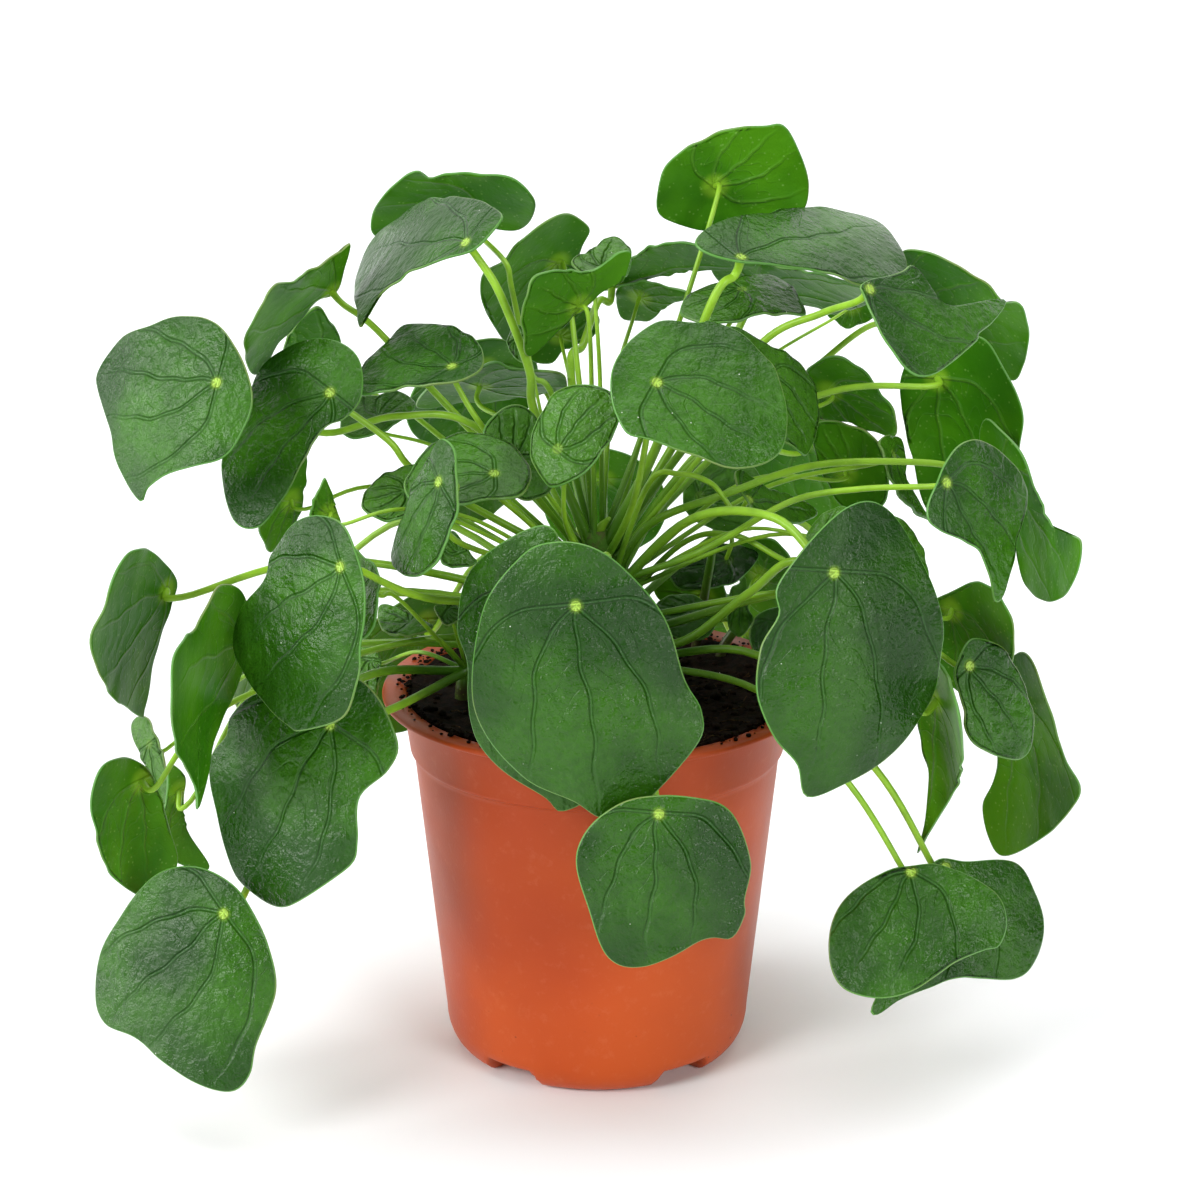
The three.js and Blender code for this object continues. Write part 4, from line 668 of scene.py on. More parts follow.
def blade_parts(blade, segments, rings, settings):
    """A blade with a rounded rim: vertices, faces, plane places and face materials."""
    rim = smooth_ring(blade["edge"], segments)
    after = np.roll(rim, -1, 0)
    if np.sum(rim[:, 0] * after[:, 1] - after[:, 0] * rim[:, 1]) < 0:
        rim = rim[::-1]
    middle = rim.mean(0)
    reach = np.linalg.norm(rim - middle, axis=1)
    half = settings.thickness / 2
    levels = [(np.full(segments, share), half) for share in np.arange(1, rings) / rings]
    levels += [(1 - inset / reach, half * share) for inset, share in RIM_STEPS]
    spots = np.vstack([middle] + [middle + (rim - middle) * out[:, None] for out, _ in levels])
    lift = np.concatenate([[half]] + [np.full(segments, height) for _, height in levels])
    share = np.concatenate([[0.0]] + [out for out, _ in levels])
    # Upper side, underside and the edge between them
    flat = np.vstack([spots, spots, rim])
    height = np.concatenate([lift, -lift, np.zeros(segments)])
    out = np.concatenate([share, share, np.ones(segments)])
    x, y = flat[:, 0], flat[:, 1]
    turn = np.arctan2(y - middle[1], x - middle[0])
    phase = blade["phase"]
    waves = np.sin(CRIMPS * turn + phase) + FINE_CRIMP * np.sin(FINE_CRIMPS * turn - phase)
    uv = blade_uv(blade, flat)
    up = rise(x, y, phase, blade["fold"]) + height + settings.crimp * out ** CRIMP_POWER * waves
    up += vein_relief(blade, uv, settings) * (1 - out ** RELIEF_POWER)
    normal, downhill, side = blade["axes"]
    places = blade["at"] + np.outer(x, downhill) + np.outer(y, side) + np.outer(up, normal)
    count = len(spots)
    edge = (2 * count, segments)
    upper = [(0, 1), *ring_row(1, len(levels), segments), edge]
    under = [(count, 1), *ring_row(count + 1, len(levels), segments), edge]
    faces = skin_faces(upper, segments, turned=True) + skin_faces(under, segments)
    inner = len(levels) - 1
    slots = np.repeat([0] * inner + [2, 2] + [1] * inner + [2, 2], segments)
    return places, faces, uv, slots.tolist()


def add_blade(name, node, blade, steps, tone, settings, materials):
    """A blade in the place of a node. The higher its tone, the lighter its green."""
    places, faces, uv, slots = blade_parts(blade, *steps, settings)
    # The shade value adds to the tone; for a blade in the crown's shadow it is painted shade
    values = {"span": blade_span(blade), "phase": blade["phase"], "tone": tone + blade["shade"]}
    sheet = make_object(name, places, faces, materials, uv, slots, values)
    place_piece(sheet, "leaf", node)


def joint_of(blade):
    """Where a leaf's stalk starts."""
    shoot = SHOOTS[blade["shoot"]]
    head = np.array(shoot["head"], float)
    if blade["shoot"] != "trunk":
        return head - (0, 0, JOINT_BELOW_HEAD)
    height = LOWEST_JOINT + JOINT_SPREAD * (blade["at"][2] - LOWEST_LEAF)
    height = np.clip(height, LOWEST_JOINT, head[2] - JOINT_BELOW_HEAD)
    foot = np.array([*shoot["foot"], SOIL_TOP], float)
    joint = foot + (head - foot) * (height - SOIL_TOP) / (head[2] - SOIL_TOP)
    outward = (blade["via"][0] - joint) * (1, 1, 0)
    return joint + JOINT_DEPTH * outward / np.linalg.norm(outward)


def stalk_line(blade):
    neck = blade["at"] - STALK_NECK * blade["axes"][0]
    return smooth_line([joint_of(blade), *blade["via"], neck, blade["at"]], STALK_STEPS)


# Materials

class Value:
    """A number that changes over a surface: what a node gives."""

    def __init__(self, nodes, socket):
        self.nodes = nodes
        self.socket = socket

    def __add__(self, other):
        return self.nodes.math("ADD", self, other)

    def __sub__(self, other):
        return self.nodes.math("SUBTRACT", self, other)

    def __rsub__(self, other):
        return self.nodes.math("SUBTRACT", other, self)

    def __mul__(self, other):
        return self.nodes.math("MULTIPLY", self, other)

    def __truediv__(self, other):
        return self.nodes.math("DIVIDE", self, other)

    def __abs__(self):
        return self.nodes.math("ABSOLUTE", self)

    __radd__ = __add__
    __rmul__ = __mul__


def on_each(operation, of_numbers):
    """A function that works on node values and on arrays of numbers alike."""
    def apply(*values):
        node_value = next((v for v in values if isinstance(v, Value)), None)
        return node_value.nodes.math(operation, *values) if node_value else of_numbers(*values)
    return apply


exp = on_each("EXPONENT", np.exp)
sine = on_each("SINE", np.sin)
root = on_each("SQRT", np.sqrt)
lesser = on_each("MINIMUM", np.minimum)
greater = on_each("MAXIMUM", np.maximum)
whole = on_each("FLOOR", np.floor)


class Nodes:
    """A material's node tree, with short ways to add and link its nodes."""

    def __init__(self, name):
        self.material = bpy.data.materials.get(name) or bpy.data.materials.new(name)
        self.material.use_nodes = True
        self.tree = self.material.node_tree
        self.tree.nodes.clear()
        self.surface = self.tree.nodes.new("ShaderNodeBsdfPrincipled")
        output = self.tree.nodes.new("ShaderNodeOutputMaterial")
        self.tree.links.new(self.surface.outputs[0], output.inputs[0])
        # The object's own place in metres
        self.where = self.tree.nodes.new("ShaderNodeTexCoord").outputs["Object"]
        self.color = None

    def put(self, socket, value):
        """Set a socket to a number or a colour, or link it to what a node gives."""
        if isinstance(value, Value):
            self.tree.links.new(value.socket, socket)
        elif isinstance(value, bpy.types.NodeSocket):
            self.tree.links.new(value, socket)
        else:
            socket.default_value = (*value, 1) if isinstance(value, Color) else value

    def set(self, **values):
        for name, value in values.items():
            self.put(self.surface.inputs[name.replace("_", " ")], value)

    def math(self, operation, *values):
        node = self.tree.nodes.new("ShaderNodeMath")
        node.operation = operation
        for socket, value in zip(node.inputs, values):
            self.put(socket, value)
        return Value(self, node.outputs[0])

    def ramp(self, value, low, high, start=0.0, end=1.0):
        """start below low and end above high, with a smooth change between."""
        node = self.tree.nodes.new("ShaderNodeMapRange")
        node.interpolation_type = "SMOOTHSTEP"
        for socket, item in zip(node.inputs, (value, low, high, start, end)):
            self.put(socket, item)
        return Value(self, node.outputs[0])

    def paint(self, color, share=None):
        """Lay a colour over the surface: all over it or by a share."""
        if share is None:
            self.color = color
        else:
            node = self.tree.nodes.new("ShaderNodeMix")
            node.data_type = "RGBA"
            for number, item in ((0, share), (6, self.color), (7, color)):
                self.put(node.inputs[number], item)
            self.color = node.outputs[2]
        self.set(Base_Color=self.color)

    def noise(self, scale, detail=4.0, roughness=0.5):
        node = self.tree.nodes.new("ShaderNodeTexNoise")
        self.put(node.inputs["Vector"], self.where)
        for name, value in (("Scale", scale), ("Detail", detail), ("Roughness", roughness)):
            node.inputs[name].default_value = value
        return Value(self, node.outputs[0])

    def dots(self, scale, inner, outer, strength=1.0):
        """Round dots of that strength, fading between two radii in shares of their pitch."""
        node = self.tree.nodes.new("ShaderNodeTexVoronoi")
        self.put(node.inputs["Vector"], self.where)
        node.inputs["Scale"].default_value = scale
        return self.ramp(Value(self, node.outputs["Distance"]), inner, outer, strength, 0.0)

    def blade_place(self):
        node = self.tree.nodes.new("ShaderNodeUVMap")
        node.uv_map = "blade"
        return self.split(node.outputs[0])[:2]

    def split(self, vector):
        node = self.tree.nodes.new("ShaderNodeSeparateXYZ")
        self.put(node.inputs[0], vector)
        return [Value(self, output) for output in node.outputs]

    def attribute(self, name):
        node = self.tree.nodes.new("ShaderNodeAttribute")
        node.attribute_name = name
        return Value(self, node.outputs["Fac"])

    def bump(self, height, distance):
        """Small relief: height as a share of a distance in metres."""
        node = self.tree.nodes.new("ShaderNodeBump")
        self.put(node.inputs["Height"], height)
        node.inputs["Distance"].default_value = distance
        return node.outputs[0]


def vein_distances(x, y, phase):
    """How far a place is from the nearest main vein and from the nearest side vein.

    Places and distances are shares of the blade's length from the stalk to the tip.
    """
    sway = 0.014 * sine(9 * x + phase) + 0.006 * sine(27 * x - phase)
    off = abs(y + sway)
    # The inner pair bends to run beside the middle vein, the outer pair starts level
    bend = exp(-1 * x / PAIR_BEND)
    slope = PAIR_SLOPE * bend
    inner = INNER_PAIR - INNER_PAIR * bend
    past = greater(off - OUTER_START, 0.0)
    to_inner = abs(off - inner) / root(1 + slope * slope)
    to_outer = abs(x + 0.01 - OUTER_BEND * past * past) / root(1 + OUTER_SLOPE * past * past)
    # No middle vein and no inner pair behind the stalk
    behind = greater(-1 * x - 0.01, 0.0) * 9
    main = lesser(off + behind, lesser(to_inner + behind, to_outer))
    # Side veins leave the middle at a slant and the inner pair almost level
    wander = 0.03 * sine(31 * off + 2 * phase) + 0.02 * sine(17 * x + phase)
    slant = (x - 0.8 * off + wander) * MIDDLE_SIDES
    level = (x - 0.45 * off + wander * 1.4 + 0.05 * sine(40 * y)) * INNER_SIDES
    from_middle = abs(slant - whole(slant) - 0.5) / MIDDLE_SIDES + greater(off - inner, 0.0) * 4
    from_inner = abs(level - whole(level) - 0.5) / INNER_SIDES + greater(inner - off, 0.0) * 4
    return main, lesser(from_middle, from_inner) + behind


def leaf_veins(nodes):
    """Strength of the main and side veins, and the distance from the stalk in mm."""
    span = nodes.attribute("span")
    x, y = nodes.blade_place()
    main, side = vein_distances(x, y, nodes.attribute("phase"))
    reach = root(x * x + y * y)
    main = nodes.ramp(main * span, 0.1, 0.75, 1.0, 0.0) * nodes.ramp(reach, 0.45, 0.95, 1.0, 0.12)
    side = nodes.ramp(side * span, 0.05, 0.5, 1.0, 0.0) * nodes.ramp(reach, 0.2, 0.85, 0.8, 0.05)
    return main, side, reach * span


def upper_material(settings):
    """Glossy upper side: sunken veins, crinkled skin, a pale dot over the stalk and dust."""
    nodes = Nodes("leaf_upper")
    main, side, radius = leaf_veins(nodes)
    tone = nodes.attribute("tone")
    nodes.paint(settings.leaf_dark)
    nodes.paint(settings.leaf_light, nodes.ramp(nodes.noise(34, 3), 0.36, 0.66))
    nodes.paint(settings.leaf_young, tone)
    # Negative tone turns a blade deep green: its own darker colour, and painted shade for a blade
    # lying in the crown's shadow
    nodes.paint(settings.deep_green_and_painted_shade, tone * -1)
    nodes.paint(settings.leaf_dark, nodes.ramp(nodes.noise(420, 3), 0.42, 0.7, 0.0, 0.35))
    nodes.paint(settings.leaf_vein, main * 0.3)
    # The dot and the pale ring around it are faint on small blades
    grown = nodes.ramp(nodes.attribute("span"), 16, 28)
    dot = nodes.ramp(radius, 1.2, 1.6, 1.0, 0.0) * grown
    nodes.paint(settings.stalk_light, nodes.ramp(radius, 1.4, 2.4, 0.25, 0.0) * grown)
    nodes.paint(settings.leaf_dot, dot)
    dusty = nodes.ramp(nodes.noise(60, 1), 0.57, 0.62)
    nodes.paint(settings.leaf_dust, nodes.dots(300, 0.04, 0.06) * dusty)
    gloss = nodes.ramp(nodes.noise(42, 4, 0.6), 0.34, 0.66,
                       settings.leaf_gloss, settings.leaf_gloss + 0.18)
    skin = nodes.noise(430, 3, 0.6) * 0.55 + nodes.noise(190, 3, 0.6) * 0.45
    relief = skin + nodes.noise(80, 2) * 0.7 - main * 0.5 - side * 0.12 + dot * 0.4
    nodes.set(Roughness=gloss, Normal=nodes.bump(relief, 0.0016), Specular_IOR_Level=0.32)
    return nodes.material


def under_material(settings):
    """Underside: brighter yellow-green with raised veins and pale dots."""
    nodes = Nodes("leaf_under")
    main, side, radius = leaf_veins(nodes)
    tone = nodes.attribute("tone")
    nodes.paint(settings.under_dark)
    nodes.paint(settings.under_light, nodes.ramp(nodes.noise(40, 3), 0.35, 0.68))
    nodes.paint(settings.leaf_young, tone * 0.6)
    # Negative tone turns a blade deep green: its own darker colour, and painted shade for a blade
    # lying in the crown's shadow
    nodes.paint(settings.deep_green_and_painted_shade, tone * -0.8)
    nodes.paint(settings.under_vein, main * 0.35 + side * 0.1)
    nodes.paint(settings.under_spot, nodes.dots(520, 0.1, 0.22, 0.4))
    nodes.paint(settings.stalk_light, nodes.ramp(radius, 1.6, 5.0, 0.6, 0.0))
    skin = nodes.noise(500, 3, 0.6) * 0.25 + nodes.noise(90, 3) * 0.6
    relief = skin + main * 0.5 + side * 0.2
    nodes.set(Roughness=0.42, Normal=nodes.bump(relief, 0.0008), Specular_IOR_Level=0.12)
    return nodes.material


def rim_material(settings):
    """The thin lighter line around a blade: a painted highlight where light catches its edge, with
    dry parts in places.
    """
    nodes = Nodes("leaf_rim")
    # Painted highlight: the edge is lighter, as where light catches it
    nodes.paint(settings.leaf_rim)
    nodes.paint(settings.leaf_rim_dry, nodes.ramp(nodes.noise(30, 2), 0.45, 0.7, 0.0, 0.7))
    nodes.set(Roughness=0.4)
    return nodes.material


def leaf_materials(settings):
    return [upper_material(settings), under_material(settings), rim_material(settings)]


def stalk_material(settings):
    """Leaf stalk: yellow-green towards the blade and darker in the crown, faintly ribbed."""
    nodes = Nodes("leaf_stalk")
    along = nodes.attribute("along")
    nodes.paint(settings.stalk_dark)
    nodes.paint(settings.stalk_light, nodes.ramp(along, 0.05, 0.55))
    # Bark brown where along is below 0: painted shade at the feet of the young shoots
    nodes.paint(settings.bark_and_painted_shade, nodes.ramp(along, -0.7, 0.1, 1.0, 0.0))
    nodes.paint(settings.stalk_dark, nodes.ramp(nodes.noise(130, 4), 0.4, 0.7, 0.0, 0.4))
    nodes.paint(settings.leaf_dot, nodes.dots(700, 0.1, 0.2, 0.35))
    nodes.set(Roughness=0.34, Normal=nodes.bump(nodes.noise(420, 3), 0.00008),
              Specular_IOR_Level=0.35)
    return nodes.material


def trunk_material(settings):
    """Trunk: greenish brown bark with corky rings."""
    nodes = Nodes("trunk_bark")
    cork = nodes.noise(240, 6, 0.7)
    nodes.paint(settings.bark_and_painted_shade)
    nodes.paint(settings.stalk_dark, nodes.ramp(nodes.split(nodes.where)[2], 0.105, 0.14))
    nodes.paint(settings.cork, nodes.ramp(cork, 0.45, 0.62, 0.0, 0.7))
    nodes.set(Roughness=0.8, Normal=nodes.bump(cork, 0.0009))
    return nodes.material


def pot_material(settings):
    """Moulded orange plastic: fine grain, faint clouds, scuffs and splashes of soil."""
    nodes = Nodes("pot_plastic")
    nodes.paint(settings.pot_dark)
    nodes.paint(settings.pot_light, nodes.ramp(nodes.noise(14, 3), 0.3, 0.7))
    nodes.paint(settings.pot_scuff, nodes.ramp(nodes.noise(260, 5, 0.7), 0.52, 0.75, 0.0, 0.12))
    # Splashes in places, most of them low on the pot
    low = nodes.ramp(nodes.split(nodes.where)[2], 0.004, 0.03, 1.0, 0.1)
    splashes = nodes.dots(240, 0.05, 0.1) * nodes.ramp(nodes.noise(46, 2), 0.5, 0.58)
    nodes.paint(settings.pot_dirt, splashes * low)
    rough = nodes.ramp(nodes.noise(30, 4), 0.3, 0.7, settings.pot_rough, settings.pot_rough + 0.1)
    nodes.set(Roughness=rough, Normal=nodes.bump(nodes.noise(1400, 2), 0.00004),
              Specular_IOR_Level=0.22)
    return nodes.material


def soil_material(settings, name, shade):
    """Damp peat: near black, with a lighter shade on its crumbs."""
    nodes = Nodes(name)
    crumb = nodes.noise(520, 6, 0.7)
    nodes.paint(settings.soil_dark)
    nodes.paint(shade, nodes.ramp(crumb, 0.35, 0.7))
    nodes.set(Roughness=0.92, Normal=nodes.bump(crumb, 0.0011), Specular_IOR_Level=0.1)
    return nodes.material


def plain_material(name, color, roughness):
    nodes = Nodes(name)
    nodes.paint(color)
    nodes.set(Roughness=roughness)
    return nodes.material


# Settings

def number_property(name, description, value, **limits):
    """A number, whole if its first value is."""
    kind = IntProperty if isinstance(value, int) else FloatProperty
    return kind(name=name, description=description, default=value, **limits)


def color_property(name, description, value):
    return FloatVectorProperty(name=name, description=description, default=value, size=3,
                               min=0, max=1, subtype="COLOR")


class PileaLeafSettings(bpy.types.PropertyGroup):
    """Leaf blades"""

    thickness: number_property("Thickness", "Thickness of a blade in mm", 0.9, min=0.3)
    crimp: number_property("Crimp", "Height of the small edge waves in mm", 0.35)
    segments: number_property("Segments", "Steps around a blade", 128, min=16)
    rings: number_property("Rings", "Rings from the middle to the edge", 22, min=3)
    groove: number_property("Groove", "Depth of the main veins in mm", 0.17)
    groove_width: number_property("Groove width", "Half width of the main veins in mm", 1.1)
    swell: number_property("Swell", "Rise between the side veins in mm", 0.13)
    swell_width: number_property("Swell width", "Distance over which it rises in mm", 3.2)
    leaf_gloss: number_property("Roughness", "Least roughness of the upper side", 0.2)
    leaf_dark: color_property("Dark green", "Upper side, darker parts", (0.011, 0.06, 0.002))
    leaf_light: color_property("Light green", "Upper side, lighter parts", (0.038, 0.15, 0.005))
    leaf_young: color_property("Young green", "Colour of young blades", (0.08, 0.24, 0.012))
    # Deep green: the own colour of darker blades, and painted shade for a blade that lies in the
    # crown's shadow
    deep_green_and_painted_shade: color_property("Deep green", "Colour of the darkest blades", (0.002, 0.016, 0.001))
    leaf_vein: color_property("Vein", "Main veins on the upper side", (0.045, 0.15, 0.03))
    leaf_dot: color_property("Dot", "Dot over the stalk", (0.36, 0.58, 0.07))
    leaf_dust: color_property("Dust", "Specks of dust on the upper side", (0.7, 0.75, 0.66))
    # Rim colour: a painted highlight, the light that catches a blade's edge
    leaf_rim: color_property("Rim", "Line around a blade", (0.09, 0.27, 0.04))
    leaf_rim_dry: color_property("Dry rim", "Line around a blade, dry parts", (0.2, 0.24, 0.06))
    under_dark: color_property("Underside dark", "Underside, darker parts", (0.028, 0.15, 0.002))
    under_light: color_property("Underside light", "Underside, lighter parts", (0.068, 0.25, 0.004))
    under_vein: color_property("Underside vein", "Main veins of the underside", (0.1, 0.25, 0.025))
    under_spot: color_property("Underside dots", "Pale dots of the underside", (0.22, 0.42, 0.09))
    stalk_dark: color_property("Stalk dark", "Leaf stalks in the crown", (0.08, 0.22, 0.01))
    stalk_light: color_property("Stalk light", "Leaf stalks near the blade", (0.3, 0.56, 0.03))
    # Brown of the trunk's bark, also painted as shade at the feet of the young shoots
    bark_and_painted_shade: color_property("Bark", "Trunk near the soil", (0.07, 0.05, 0.025))
    cork: color_property("Cork", "Corky parts of the trunk", (0.12, 0.08, 0.035))


class PileaPotSettings(bpy.types.PropertyGroup):
    """Pot"""

    segments: number_property("Segments", "Steps around the pot", 300, min=24)
    pot_rough: number_property("Roughness", "Least roughness of the plastic", 0.36)
    pot_dark: color_property("Dark orange", "Plastic, darker parts", (0.4, 0.05, 0.007))
    pot_light: color_property("Light orange", "Plastic, lighter parts", (0.52, 0.08, 0.011))
    pot_scuff: color_property("Scuffs", "Plastic where it is rubbed", (0.7, 0.24, 0.12))
    pot_dirt: color_property("Dirt", "Splashes of soil on the plastic", (0.09, 0.014, 0.008))


class PileaSoilSettings(bpy.types.PropertyGroup):
    """Soil"""

    crumbs: number_property("Crumbs", "Loose crumbs on the soil", 420, min=0)
    spill: number_property("Spill", "Crumbs spilled on the pot's lip", 620, min=0)
    fibres: number_property("Fibres", "Root fibres on the soil", 90, min=0)
    specks: number_property("Specks", "White grains on the soil", 14, min=0)
    soil_dark: color_property("Dark", "Damp soil", (0.004, 0.0028, 0.002))
    soil_light: color_property("Light", "Dry soil", (0.028, 0.013, 0.007))
    fibre_color: color_property("Fibre", "Root fibres", (0.13, 0.07, 0.03))
    speck_color: color_property("Speck", "White grains", (0.7, 0.68, 0.62))


class PileaStageSettings(bpy.types.PropertyGroup):
    """Floor, light and camera"""

    floor_color: color_property("Floor", "Floor colour", (0.93, 0.95, 0.96))
    room: number_property("Room", "Brightness of the room behind and above", 1.3)
    front: number_property("Front", "Brightness of the room behind the camera", 0.06)
    key: number_property("Key", "Strength of the main light", 1.8)
    side: number_property("Side", "Strength of the light from the left", 1.4)
    fill: number_property("Fill", "Strength of the light from the right", 1.3)
    top: number_property("Top", "Strength of the light from above", 1.5)


# Pieces

class PILEA_OT_pot(bpy.types.Operator):
    """Pot turned from its wall's section, with its feet, gaps and drain holes"""

    bl_idname = "pilea.pot"
    bl_label = "Pot"

    # The sides of a foot gap slope between these distances from its edge, in radians
    GAP_SLOPE = (0.05, -0.02)
    # How far the drain cutters reach past the floor on both sides
    CUTTER_REACH = 2

    def execute(self, context):
        settings = context.scene.pilea_pot
        segments = settings.segments
        angle = turns(segments)
        pitch = 2 * np.pi / FOOT_COUNT
        from_gap = np.abs((angle + np.pi / 2) % pitch - pitch / 2)
        half_gap = np.radians(FOOT_GAP / 2)
        gap = smoothstep(*(half_gap + past for past in self.GAP_SLOPE), from_gap)
        vertices, rings = [], []
        for radius, height in self.profile():
            rings.append((len(vertices), segments if radius else 1))
            if not radius:
                vertices.append((0, 0, height))
                continue
            under = height < FOOT_GAP_HEIGHT and radius > FOOT_INNER_RADIUS - 2
            level = np.maximum(height, FOOT_GAP_HEIGHT * gap if under else np.zeros(segments))
            vertices += list(zip(radius * np.cos(angle), radius * np.sin(angle), level))
        faces = skin_faces(rings, segments)
        pot = make_object("nursery_pot", vertices, faces, [pot_material(settings)])
        self.drain(pot)
        place_piece(pot, "pot", "pot")
        return {"FINISHED"}

    def profile(self):
        """Section of the wall, from the middle of the underside out, up and back in.

        What is added to and taken off the pot's sizes rounds its corners.
        """
        mouth = BAND_TOP_RADIUS - WALL
        lip_foot = POT_HEIGHT - LIP_THICKNESS
        corner = [(FOOT_RADIUS + (BODY_FOOT_RADIUS - FOOT_RADIUS) * np.sin(a),
                   BODY_FOOT_HEIGHT * (1 - np.cos(a)) ** 1.15)
                  for a in np.radians(np.arange(0, 91, 10))]
        body_top = BAND_FOOT_RADIUS - STEP_WIDTH
        wall = [(BODY_FOOT_RADIUS + (body_top - BODY_FOOT_RADIUS) * k,
                 BODY_FOOT_HEIGHT + (STEP_HEIGHT - 0.9 - BODY_FOOT_HEIGHT) * k)
                for k in (0.25, 0.5, 0.75, 0.98, 1)]
        return [
            (0, 0), (PAD_RADIUS - 0.5, 0), (PAD_RADIUS, 0.4), (PAD_RADIUS + 0.8, RECESS_TOP - 0.4),
            (PAD_RADIUS + 1.2, RECESS_TOP), (FOOT_INNER_RADIUS - 2.5, RECESS_TOP),
            (FOOT_INNER_RADIUS - 1.9, RECESS_TOP), (FOOT_INNER_RADIUS, RECESS_TOP),
            (FOOT_INNER_RADIUS + 0.6, 0.5), (FOOT_INNER_RADIUS + 1.2, 0), (FOOT_RADIUS - 0.6, 0),
            *corner, *wall,
            (body_top + 0.25, STEP_HEIGHT - 0.75), (BAND_FOOT_RADIUS - 0.3, STEP_HEIGHT - 0.35),
            (BAND_FOOT_RADIUS, STEP_HEIGHT), (BAND_FOOT_RADIUS + 0.05, STEP_HEIGHT + 0.5),
            (BAND_TOP_RADIUS - 0.05, lip_foot - 1.4), (BAND_TOP_RADIUS + 0.4, lip_foot - 0.4),
            (BAND_TOP_RADIUS + 1.4, lip_foot), (LIP_RADIUS - 0.7, lip_foot + 0.1),
            (LIP_RADIUS - 0.15, lip_foot + 0.4), (LIP_RADIUS, lip_foot + 0.9),
            (LIP_RADIUS - 0.15, POT_HEIGHT - 0.35), (LIP_RADIUS - 0.6, POT_HEIGHT),
            (mouth + 1.6, POT_HEIGHT - 0.5), (mouth + 0.5, POT_HEIGHT - 0.9),
            (mouth, POT_HEIGHT - 1.8), (BAND_FOOT_RADIUS - WALL, STEP_HEIGHT + 2 * WALL),
            (BAND_FOOT_RADIUS - STEP_WIDTH - WALL, STEP_HEIGHT + WALL),
            (BODY_FOOT_RADIUS - WALL, FLOOR_TOP + 6),
            (BODY_FOOT_RADIUS - WALL - 1.8, FLOOR_TOP + 1.6),
            (BODY_FOOT_RADIUS - WALL - 6, FLOOR_TOP), (0, FLOOR_TOP),
        ]

    def drain(self, pot):
        """The drain holes, cut with one joined cutter."""
        parts = []
        for foot in range(FOOT_COUNT):
            bearing = -np.pi / 2 + 2 * np.pi * (foot + 0.5) / FOOT_COUNT
            x, y = DRAIN_PLACE * np.cos(bearing), DRAIN_PLACE * np.sin(bearing)
            ends = [(x, y, RECESS_TOP - self.CUTTER_REACH), (x, y, FLOOR_TOP + self.CUTTER_REACH)]
            parts.append(tube(ends, [DRAIN_RADIUS] * 2, DRAIN_SIDES))
        cutter = make_object("drain_cutter", *join_parts(parts), [])
        cut = pot.modifiers.new("drain", "BOOLEAN")
        cut.operation = "DIFFERENCE"
        cut.object = cutter
        shape = pot.evaluated_get(bpy.context.evaluated_depsgraph_get())
        mesh = bpy.data.meshes.new_from_object(shape)
        pot.modifiers.clear()
        pot.data = mesh
        bpy.data.objects.remove(cutter)


